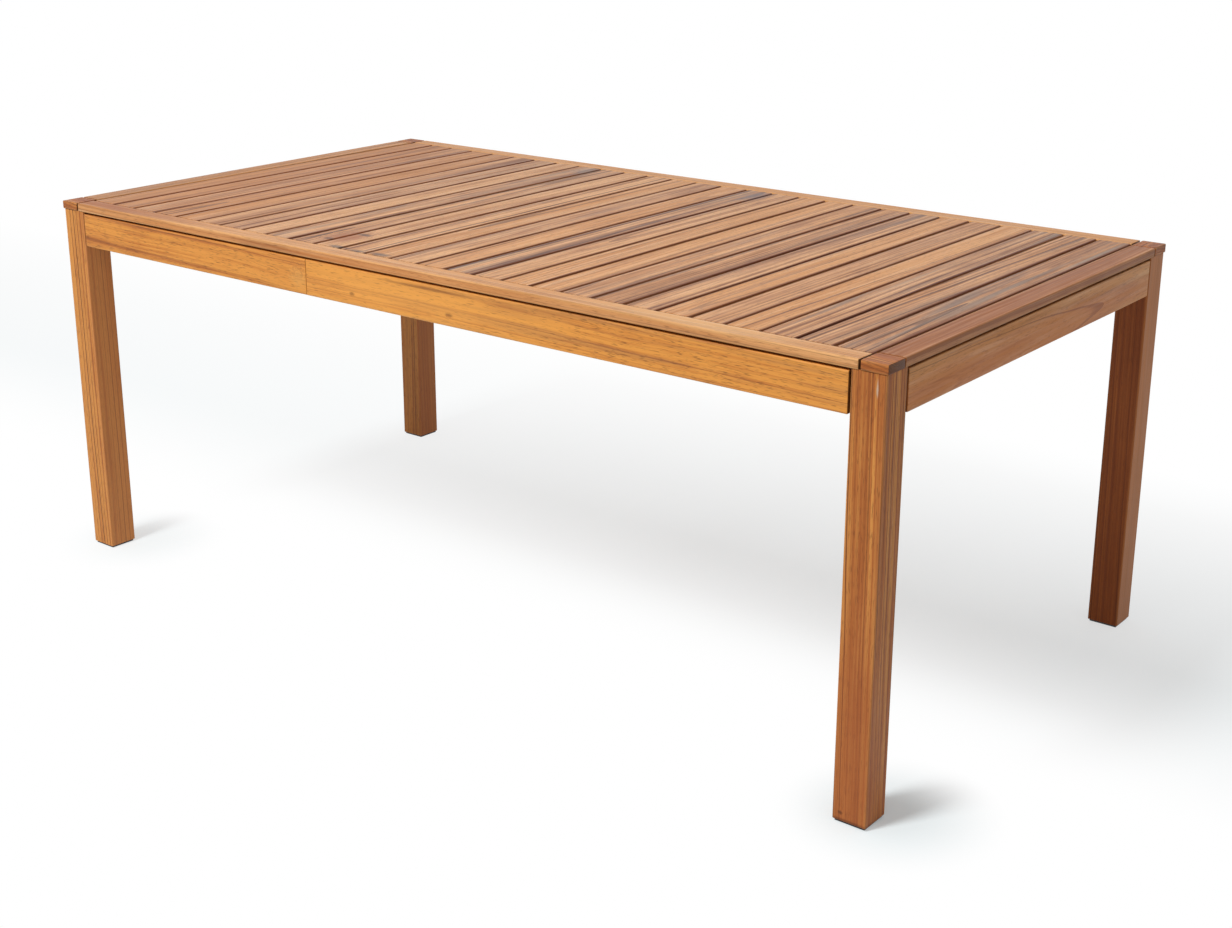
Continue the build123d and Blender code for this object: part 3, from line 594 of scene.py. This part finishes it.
LEG_MARKS = (
    ((933, -497, 701), (2.4, 6, 18), "C2A68E", 0.85, 1),
    ((919, -497, 60), (90, 90, 420), "A2562C", 0.5, 0),
    ((919, -497, 5), (60, 60, 6), "5A2A12", 0.65, 0),
    ((903, -498, 18), (6, 8, 5), "4A2410", 0.7, 1),
    # Painted light and shade, each on one face: the next four marks lighten the right faces of the back
    # right, front left and back left legs, and darken the front face of the back right leg, which lies in the
    # top's shadow
    ((948, 469, 330), (4, 220, 1400), "C67C42", 0.65, 0),
    ((919, 439, 330), (90, 6, 1400), "8A3E00", 0.45, 0),
    ((-889, -469, 330), (4, 200, 1400), "CE8450", 0.55, 0),
    ((-889, 469, 330), (4, 200, 1400), "C0764A", 0.55, 0),
)
END_MARKS = (
    ((935, 0, 738), (80, 1100, 24), "A05408", 0.5, 0),
    ((935, 0, 672), (80, 1100, 60), "C0662A", 0.55, 0),
)

# Battens under the top: the axis their fibres follow, their tone (dark, warm, smoky), and how far their grain
# is moved from the table's origin, in metres
CLEAT_WOOD = ("X", (0.0, 0.15, 0.1), (0.4, 0.06, -0.60))
CROSS_WOOD = ("Y", (0.08, 0.25, 0.1), (1.3, 0.05, -0.58))

# Least and most of what each slat draws: the heart of its tree (across, up and along, in metres), and how
# much its fibres lean towards it
SLAT_DRAWS = {
    "heart": ((-0.07, -0.11, -3.0), (0.07, -0.02, 3.0)),
    "lean": ((-0.016, -0.016, 0.0), (0.016, 0.016, 0.0)),
}
# Waves per metre in the slats' edges, across the row and along a slat
SWAY_WAVES = (22.0, 2.2, 0.0)

# Points on a round corner, the distance between a board's stations, and the smallest rounding
CORNER_STEPS = 4
STATION_STEP = 40 * MM
LEAST_ROUND = 0.1 * MM
# How far past a rounded edge a face gets flat, and how far the edge's colour reaches (wear and oil, with
# painted highlight and painted gap shade), each with the most of half a face that it takes; and the share of
# that colour where the face gets flat
SUPPORT, SUPPORT_MOST = 1.2 * MM, 0.3
EDGE_REACH, EDGE_REACH_MOST = 3.5 * MM, 0.7
EDGE_FADE = 0.35
# Waves per metre in a sanded face
SANDED_WAVES = 6
# Boards from trees with different hearts also start at different places along them
HEART_SLIDE = 0.03


def eased_outline(half_a, half_b, radius, inset):
    """Outline of a board's section: a rectangle with round corners, drawn in by an inset.
    Each point comes with its nearness to an edge, which carries wear and oil as well as painted highlight and
    painted gap shade.
    Each flat side keeps two points past each of its corners: one so that it shades flat, and one where the
    edge's colour ends."""
    round_by = max(radius - inset, LEAST_ROUND)
    reach_a = half_a - inset - round_by
    reach_b = half_b - inset - round_by
    points = []
    for quarter in range(4):
        sign_a = (1, -1, -1, 1)[quarter]
        sign_b = (1, 1, -1, -1)[quarter]
        turns = [math.radians(quarter * 90 + 90 * k / (CORNER_STEPS - 1)) for k in range(CORNER_STEPS)]
        arc = [Vector((sign_a * reach_a + round_by * math.cos(t), sign_b * reach_b + round_by * math.sin(t)))
               for t in turns]
        back_a, back_b = Vector((-sign_a, 0)), Vector((0, -sign_b))
        before, before_room = (back_b, reach_b) if quarter % 2 == 0 else (back_a, reach_a)
        after, after_room = (back_a, reach_a) if quarter % 2 == 0 else (back_b, reach_b)
        points.append((arc[0] + before * min(EDGE_REACH, EDGE_REACH_MOST * before_room), 0.0))
        points.append((arc[0] + before * min(SUPPORT, SUPPORT_MOST * before_room), EDGE_FADE))
        points += [(point, 1.0) for point in arc]
        points.append((arc[-1] + after * min(SUPPORT, SUPPORT_MOST * after_room), EDGE_FADE))
        points.append((arc[-1] + after * min(EDGE_REACH, EDGE_REACH_MOST * after_room), 0.0))
    return points


def board_stations(length, ease):
    """Places along a board where its outline is drawn, each with its inset: round ends and even steps."""
    turns = [math.radians(90 * k / (CORNER_STEPS - 1)) for k in range(CORNER_STEPS)]
    start = [(ease * (1 - math.cos(t)), ease * (1 - math.sin(t))) for t in turns]
    start.append((ease + SUPPORT, 0.0))
    first = start[-1][0]
    count = max(2, round(length / STATION_STEP))
    middle = [(first + (length - 2 * first) * k / count, 0.0) for k in range(1, count)]
    return start + middle + [(length - place, inset) for place, inset in reversed(start)]


def plank(name, low, high, axis, ease, finish, tone, heart, lean):
    """Solid board between two corners, with eased edges and ends and slightly uneven faces.
    It carries its grain (along the fibres, and across them from the heart of the tree), its tone, and
    where its sawn ends and eased edges are."""
    run = "XYZ".index(axis)
    a, b = [k for k in range(3) if k != run]
    size = high - low
    middle = (low + high) / 2
    end_ease = min(ease, finish.end_ease)
    stations = board_stations(size[run], end_ease)
    verts, ends, edges = [], [], []
    for place, inset in stations:
        for point, edge in eased_outline(size[a] / 2, size[b] / 2, ease, inset):
            spot = Vector((0, 0, 0))
            spot[run] = low[run] + place
            spot[a] = middle[a] + point.x
            spot[b] = middle[b] + point.y
            verts.append(spot)
            ends.append(1.0 if inset > end_ease / 2 else 0.0)
            edges.append(edge)
    ring = len(verts) // len(stations)
    faces = []
    for s in range(len(stations) - 1):
        for k in range(ring):
            here, there = s * ring + k, s * ring + (k + 1) % ring
            faces.append((here, there, there + ring, here + ring))
    faces.append(tuple(reversed(range(ring))))
    faces.append(tuple(range(len(verts) - ring, len(verts))))
    for spot in verts:
        inward = middle - spot
        inward[run] = 0
        dip = 0.5 + 0.5 * noise.noise(spot * SANDED_WAVES + Vector((heart[0], heart[1], 0)))
        spot += inward.normalized() * finish.unevenness * min(1, max(0, dip))
    mesh = bpy.data.meshes.new(name)
    mesh.from_pydata(verts, [], faces)
    mesh.validate()
    grain = []
    for spot in verts:
        from_middle = spot - middle
        along = from_middle[run]
        grain += [along + heart[0] * HEART_SLIDE,
                  from_middle[a] + heart[0] * MM + lean[0] * along,
                  from_middle[b] + heart[1] * MM + lean[1] * along]
    mesh.attributes.new("grain", "FLOAT_VECTOR", "POINT").data.foreach_set("vector", grain)
    mesh.attributes.new("tone", "FLOAT_VECTOR", "POINT").data.foreach_set("vector", tone * len(verts))
    mesh.attributes.new("end_grain", "FLOAT", "POINT").data.foreach_set("value", ends)
    mesh.attributes.new("edge", "FLOAT", "POINT").data.foreach_set("value", edges)
    mesh.shade_smooth()
    outward_fix(mesh)
    return mesh


def outward_fix(mesh):
    """Turns a closed mesh right side out."""
    volume = 0.0
    mesh.calc_loop_triangles()
    for triangle in mesh.loop_triangles:
        p, q, r = (mesh.vertices[i].co for i in triangle.vertices)
        volume += p.dot(q.cross(r))
    if volume < 0:
        mesh.flip_normals()


def place_boards(name, look, boards, edge_share, marks, table, ease):
    """Makes each board of a table in its CAD node's box, of one wood, and stands it in for that node."""
    material = board_teak(name, look, boards, boards.board_edge_wear_and_highlight, edge_share, marks)
    for node, (axis, tone, heart, lean) in table.items():
        low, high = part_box(node)
        mesh = plank(node + "_board", low, high, axis, ease, boards, tone, heart, lean)
        mesh.materials.append(material)
        piece = put(node + "_board", mesh)
        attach(piece, BODY)
        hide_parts(node)


def slat_tree():
    """Geometry nodes that lay a slat on each point of a row, each with its own width, sway and figure."""
    tree = bpy.data.node_groups.new("Slat deck", "GeometryNodeTree")
    tree.interface.new_socket("Deck", in_out="OUTPUT", socket_type="NodeSocketGeometry")
    for name, kind in (
        ("Row", "NodeSocketGeometry"),
        ("Slat", "NodeSocketObject"),
        ("Narrowest", "NodeSocketVector"),
        ("Widest", "NodeSocketVector"),
        ("Shift", "NodeSocketFloat"),
        ("Sway", "NodeSocketFloat"),
        ("Seed", "NodeSocketInt"),
        ("Wood", "NodeSocketMaterial"),
    ):
        tree.interface.new_socket(name, in_out="INPUT", socket_type=kind)
    given = add(tree, "NodeGroupInput").outputs
    seed = given["Seed"]
    aside = add(tree, "FunctionNodeRandomValue", {2: -1.0, 3: 1.0, "Seed": seed}, data_type="FLOAT")
    aside = add(tree, "ShaderNodeMath", {0: aside.outputs[1], 1: given["Shift"]}, operation="MULTIPLY")
    aside = add(tree, "ShaderNodeCombineXYZ", {0: aside.outputs[0]})
    row = add(tree, "GeometryNodeSetPosition", {"Geometry": given["Row"], "Offset": aside.outputs[0]})
    slat = add(tree, "GeometryNodeObjectInfo", {"Object": given["Slat"]})
    width = add(tree, "FunctionNodeRandomValue", {0: given["Narrowest"], 1: given["Widest"], "Seed": seed},
                data_type="FLOAT_VECTOR")
    deck = add(tree, "GeometryNodeInstanceOnPoints",
               {"Points": row.outputs[0], "Instance": slat.outputs["Geometry"], "Scale": width.outputs[0]})
    whole = deck.outputs[0]
    spot = add(tree, "GeometryNodeInputPosition").outputs[0]
    carried = {"middle": spot}
    for offset, (name, (least, most)) in enumerate(SLAT_DRAWS.items()):
        own = add(tree, "ShaderNodeMath", {0: seed, 1: float(offset + 1)}, operation="ADD")
        carried[name] = add(tree, "FunctionNodeRandomValue", {0: least, 1: most, "Seed": own.outputs[0]},
                            data_type="FLOAT_VECTOR").outputs[0]
    for name, value in carried.items():
        whole = add(tree, "GeometryNodeStoreNamedAttribute",
                    {"Geometry": whole, "Name": name, "Value": value},
                    data_type="FLOAT_VECTOR", domain="INSTANCE").outputs[0]
    whole = add(tree, "GeometryNodeRealizeInstances", {"Geometry": whole}).outputs[0]

    # Edges that stray a little from straight, a different way on each slat
    calm = add(tree, "ShaderNodeVectorMath", {0: spot, 1: SWAY_WAVES}, operation="MULTIPLY")
    stray = add(tree, "ShaderNodeTexNoise", {"Vector": calm.outputs[0], "Scale": 1.0, "Detail": 1.0})
    stray = add(tree, "ShaderNodeMath", {0: stray.outputs[0], 1: 0.5}, operation="SUBTRACT")
    stray = add(tree, "ShaderNodeMath", {0: stray.outputs[0], 1: given["Sway"]}, operation="MULTIPLY")
    step = add(tree, "ShaderNodeCombineXYZ", {0: stray.outputs[0]})
    whole = add(tree, "GeometryNodeSetPosition", {"Geometry": whole, "Offset": step.outputs[0]}).outputs[0]

    # Grain of each slat: along it, and across it from the heart of its own tree
    known = {
        name: add(tree, "GeometryNodeInputNamedAttribute", {"Name": name},
                  data_type="FLOAT_VECTOR").outputs[0]
        for name in carried
    }
    away = add(tree, "ShaderNodeVectorMath", {0: spot, 1: known["middle"]}, operation="SUBTRACT")
    away = add(tree, "ShaderNodeSeparateXYZ", {0: away.outputs[0]}).outputs
    heart = add(tree, "ShaderNodeSeparateXYZ", {0: known["heart"]}).outputs
    lean = add(tree, "ShaderNodeSeparateXYZ", {0: known["lean"]}).outputs
    along = add(tree, "ShaderNodeMath", {0: away[1], 1: heart[2]}, operation="ADD").outputs[0]
    parts = [along]
    for across, side, tilt in ((away[0], heart[0], lean[0]), (away[2], heart[1], lean[1])):
        part = add(tree, "ShaderNodeMath", {0: across, 1: side}, operation="ADD")
        part = add(tree, "ShaderNodeMath", {0: away[1], 1: tilt, 2: part.outputs[0]},
                   operation="MULTIPLY_ADD")
        parts.append(part.outputs[0])
    grain = add(tree, "ShaderNodeCombineXYZ", dict(enumerate(parts)))
    whole = add(tree, "GeometryNodeStoreNamedAttribute",
                {"Geometry": whole, "Name": "grain", "Value": grain.outputs[0]},
                data_type="FLOAT_VECTOR", domain="POINT").outputs[0]
    whole = add(tree, "GeometryNodeSetMaterial", {"Geometry": whole, "Material": given["Wood"]}).outputs[0]
    add(tree, "NodeGroupOutput", {0: whole})
    return tree


def plain_mesh(name, tree, start, values):
    """Result of a geometry nodes tree on a starting mesh, as a plain mesh object at the origin."""
    piece = put(name, start)
    nodes = piece.modifiers.new("Nodes", "NODES")
    nodes.node_group = tree
    for socket in tree.interface.items_tree:
        if socket.in_out == "INPUT" and socket.name in values:
            nodes[socket.identifier] = values[socket.name]
    graph = bpy.context.evaluated_depsgraph_get()
    made = bpy.data.meshes.new_from_object(piece.evaluated_get(graph))
    piece.modifiers.clear()
    piece.data = made
    return piece


# Operators, one for each group of like pieces


class PATIO_OT_slat_deck(bpy.types.Operator):
    """Lays the row of slats between the edge rails."""

    bl_idname = "patio_table.slat_deck"
    bl_label = "Slat deck"

    def execute(self, context):
        settings = context.scene.patio_table
        slats = settings.slats
        boards = settings.boards
        low, high = FIRST_SLAT_LOW.copy(), FIRST_SLAT_HIGH.copy()
        low.y = slats.end_gap - RAIL_INNER_Y
        high.y = RAIL_INNER_Y - slats.end_gap
        middle = (low + high) / 2
        mesh = plank("slat", low - middle, high - middle, "Y", boards.slat_ease, boards,
                     (0.0, 0.0, 0.0), (0, 0), (0, 0))
        for name in ("grain", "tone"):
            mesh.attributes.remove(mesh.attributes[name])
        pattern = put("slat_pattern", mesh)
        row = bpy.data.meshes.new("slats")
        row.from_pydata([middle + Vector((slats.pitch * k, 0, 0)) for k in range(slats.count)], [], [])
        tones = [part for k in range(slats.count) for part in SLAT_TONES[SLAT_ROW[k % len(SLAT_ROW)]]]
        row.attributes.new("tone", "FLOAT_VECTOR", "POINT").data.foreach_set("vector", tones)
        spread = slats.variation / (high.x - low.x)
        deck = plain_mesh("slats", slat_tree(), row, {
            "Slat": pattern,
            "Narrowest": (1 - spread, 1.0, 1.0),
            "Widest": (1 + spread, 1.0, 1.0),
            "Shift": slats.shift,
            "Sway": slats.sway,
            "Seed": slats.seed,
            "Wood": board_teak("Oiled teak slats", settings.deck_teak, boards, boards.slat_edge_oil_and_gap_shade,
                               boards.slat_edge_oil_and_gap_shade_share, DECK_MARKS),
        })
        bpy.data.objects.remove(pattern)
        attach(deck, BODY)
        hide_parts(*SLAT_NODES)
        return {"FINISHED"}


class PATIO_OT_edge_boards(bpy.types.Operator):
    """Makes the edge rails, end boards and corner blocks round the top."""

    bl_idname = "patio_table.edge_boards"
    bl_label = "Edge boards"

    def execute(self, context):
        settings = context.scene.patio_table
        boards = settings.boards
        deck = settings.deck_teak
        for name, look, edge_share, marks, table in (
            ("Oiled teak rails", deck, boards.rail_edge_wear_and_highlight_share, RAIL_MARKS, EDGE_RAILS),
            ("Oiled teak end boards", deck, boards.board_edge_wear_and_highlight_share, END_MARKS, END_BOARDS),
            ("Oiled teak corner blocks", settings.leg_teak, boards.board_edge_wear_and_highlight_share, (), CORNER_BLOCKS),
        ):
            place_boards(name, look, boards, edge_share, marks, table, boards.edge_ease)
        return {"FINISHED"}


class PATIO_OT_frame_boards(bpy.types.Operator):
    """Makes the legs and the aprons."""

    bl_idname = "patio_table.frame_boards"
    bl_label = "Legs and aprons"

    def execute(self, context):
        settings = context.scene.patio_table
        boards = settings.boards
        edge_share = boards.board_edge_wear_and_highlight_share
        for name, look, marks, table in (
            ("Oiled teak aprons", settings.frame_teak, APRON_MARKS, APRON_BOARDS),
            ("Oiled teak legs", settings.leg_teak, LEG_MARKS, LEGS),
            ("Oiled teak end aprons", settings.deck_teak, END_MARKS, END_APRONS),
        ):
            place_boards(name, look, boards, edge_share, marks, table, boards.leg_ease)
        return {"FINISHED"}


class PATIO_OT_underside(bpy.types.Operator):
    """Finishes the battens, foot pads, dowels and fasteners, which keep their CAD shapes."""

    bl_idname = "patio_table.underside"
    bl_label = "Underside"

    def execute(self, context):
        teak = context.scene.patio_table.frame_teak
        finishes = (
            (batten_teak("Sawn teak cleats", teak, *CLEAT_WOOD),
             ("front_cleat", "back_cleat", "slat_bearer", "apron_splice_blocks")),
            (batten_teak("Sawn teak rails", teak, *CROSS_WOOD),
             ("cross_rails", "end_cleats")),
            (zinc_steel(),
             ("corner_braces", "hanger_bolts", "flange_nuts", "short_screws", "long_screws", "brace_screws")),
            (black_nylon(), ("foot_pads",)),
            (turned_beech(), ("dowels",)),
        )
        for material, nodes in finishes:
            for node in nodes:
                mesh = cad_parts[node].data
                mesh.materials.clear()
                mesh.materials.append(material)
        return {"FINISHED"}


class PATIO_OT_stage(bpy.types.Operator):
    """Sets the floor, the light and the camera."""

    bl_idname = "patio_table.stage"
    bl_label = "Studio"

    def execute(self, context):
        scene = context.scene
        studio = scene.patio_table.studio
        scene.view_settings.view_transform = "Standard"
        lay_floor(studio)
        light_table(scene, studio)
        aim_camera(scene, studio)
        return {"FINISHED"}


def seen_rays(tree):
    """1 for rays that show a surface as the eye or a reflection sees it, and 0 for light that bounces."""
    path = add(tree, "ShaderNodeLightPath").outputs
    seen = path["Is Camera Ray"]
    for kind in ("Is Glossy Ray", "Is Transmission Ray"):
        seen = add(tree, "ShaderNodeMath", {0: seen, 1: path[kind]}, operation="MAXIMUM").outputs[0]
    return seen


def lay_floor(studio):
    """Matt white floor that keeps a pale shadow."""
    half = studio.floor_size / 2
    mesh = bpy.data.meshes.new("studio_floor")
    corners = [(-half, -half, 0), (half, -half, 0), (half, half, 0), (-half, half, 0)]
    mesh.from_pydata(corners, [], [(0, 1, 2, 3)])
    floor = put("studio_floor", mesh)
    material = bpy.data.materials.new("Matt white studio floor")
    tree = empty_tree(material)
    matt = add(tree, "ShaderNodeBsdfDiffuse", {"Color": (*studio.floor_colour, 1)})
    white = add(tree, "ShaderNodeEmission", {"Color": (1, 1, 1, 1), "Strength": 1.0})
    here = add(tree, "ShaderNodeTexCoord").outputs["Object"]
    spot = add(tree, "ShaderNodeSeparateXYZ", {0: here}).outputs
    depth = add(tree, "ShaderNodeMapRange",
                {"Value": spot[0], "From Min": CAD_LOW.x, "From Max": CAD_HIGH.x,
                 "To Min": studio.shade_left, "To Max": studio.shade_right}).outputs[0]
    front = add(tree, "ShaderNodeMapRange",
                {"Value": spot[1], "From Min": studio.shade_front, "From Max": studio.shade_deep,
                 "To Max": depth}, interpolation_type="SMOOTHSTEP").outputs[0]
    back = add(tree, "ShaderNodeMapRange",
               {"Value": spot[1], "From Min": studio.shade_deep, "From Max": studio.shade_back,
                "To Min": depth, "To Max": 0.0}).outputs[0]
    shade = add(tree, "ShaderNodeMath", {0: front, 1: back}, operation="MINIMUM").outputs[0]
    for leg, depth in FOOT_SHADES.items():
        low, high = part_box(leg)
        behind = Vector(((low.x + high.x) / 2, (low.y + high.y) / 2, 0)) + FOOT_SHADE_SHIFT
        away = add(tree, "ShaderNodeVectorMath", {0: here, 1: behind}, operation="DISTANCE").outputs["Value"]
        foot = add(tree, "ShaderNodeMapRange",
                   {"Value": away, "From Min": FOOT_SHADE_CORE, "From Max": studio.foot_reach,
                    "To Min": depth, "To Max": 0.0}, interpolation_type="SMOOTHSTEP").outputs[0]
        shade = add(tree, "ShaderNodeMath", {0: shade, 1: foot}, operation="MAXIMUM").outputs[0]
    lift = add(tree, "ShaderNodeMath", {0: 1.0, 1: shade}, operation="SUBTRACT").outputs[0]
    seen = add(tree, "ShaderNodeMath", {0: seen_rays(tree), 1: lift}, operation="MULTIPLY").outputs[0]
    mixed = add(tree, "ShaderNodeMixShader", {0: seen, 1: matt.outputs[0], 2: white.outputs[0]})
    add(tree, "ShaderNodeOutputMaterial", {"Surface": mixed.outputs[0]})
    mesh.materials.append(material)


def light_table(scene, studio):
    """Soft key lamp from the front and white surroundings."""
    place = Vector(studio.key_place)
    toward = place - Vector((0, 0, CAD_HIGH.z))
    lamp = bpy.data.lights.new("key_lamp", "AREA")
    lamp.shape = "DISK"
    lamp.size = studio.key_size
    # Watts with which the lamp alone lights a white table top to the key level
    lamp.energy = math.pi ** 2 * studio.key_level * toward.length ** 3 / toward.z
    key = put("key_lamp", lamp)
    key.location = place
    key.rotation_mode = "QUATERNION"
    key.rotation_quaternion = toward.to_track_quat("Z", "Y")
    world = bpy.data.worlds.new("White surroundings")
    scene.world = world
    tree = empty_tree(world)
    light = add(tree, "ShaderNodeBackground", {"Color": (1, 1, 1, 1), "Strength": studio.sky_level})
    seen = add(tree, "ShaderNodeBackground", {"Color": (1, 1, 1, 1), "Strength": 1.0})
    mixed = add(tree, "ShaderNodeMixShader", {0: seen_rays(tree), 1: light.outputs[0], 2: seen.outputs[0]})
    add(tree, "ShaderNodeOutputWorld", {"Surface": mixed.outputs[0]})


def aim_camera(scene, studio):
    """Camera at the photograph's viewing angle."""
    lens = bpy.data.cameras.new("camera")
    lens.sensor_width = SENSOR_WIDTH
    lens.lens = studio.focal_pixels / PHOTO_WIDTH * SENSOR_WIDTH
    lens.shift_y = -studio.shift_pixels / PHOTO_WIDTH
    lens.clip_end = SIGHT_LIMIT
    camera = put("camera", lens)
    place = Vector(studio.camera_place)
    sight = (Vector(studio.camera_aim) - place).to_track_quat("-Z", "Y")
    camera.location = place
    camera.rotation_mode = "QUATERNION"
    camera.rotation_quaternion = sight @ Quaternion((0, 0, 1), studio.camera_roll)
    scene.camera = camera


class PATIO_PT_table(bpy.types.Panel):
    """Lists the steps that dress the table."""

    bl_label = "Patio Table"
    bl_idname = "PATIO_PT_table"
    bl_space_type = "VIEW_3D"
    bl_region_type = "UI"
    bl_category = "Patio Table"

    def draw(self, context):
        for step in STEPS:
            self.layout.operator(step.bl_idname)
        settings = context.scene.patio_table
        for group in (settings.deck_teak, settings.frame_teak, settings.leg_teak,
                      settings.boards, settings.slats, settings.studio):
            box = self.layout.box()
            for name in group.bl_rna.properties.keys():
                if name not in ("name", "rna_type"):
                    box.prop(group, name)


STEPS = (PATIO_OT_slat_deck, PATIO_OT_edge_boards, PATIO_OT_frame_boards, PATIO_OT_underside, PATIO_OT_stage)
CLASSES = (DeckTeak, FrameTeak, LegTeak, BoardSizes, SlatDeck, Studio, PatioTable, *STEPS, PATIO_PT_table)


def register():
    """Adds the classes and the scene's settings."""
    for cls in CLASSES:
        bpy.utils.register_class(cls)
    bpy.types.Scene.patio_table = PointerProperty(type=PatioTable)


def unregister():
    """Takes the settings and the classes away again."""
    del bpy.types.Scene.patio_table
    for cls in reversed(CLASSES):
        bpy.utils.unregister_class(cls)


def main():
    """Builds the table's looks."""
    register()
    bpy.ops.patio_table.slat_deck()
    bpy.ops.patio_table.edge_boards()
    bpy.ops.patio_table.frame_boards()
    bpy.ops.patio_table.underside()
    bpy.ops.patio_table.stage()


if __name__ == "__main__":
    main()
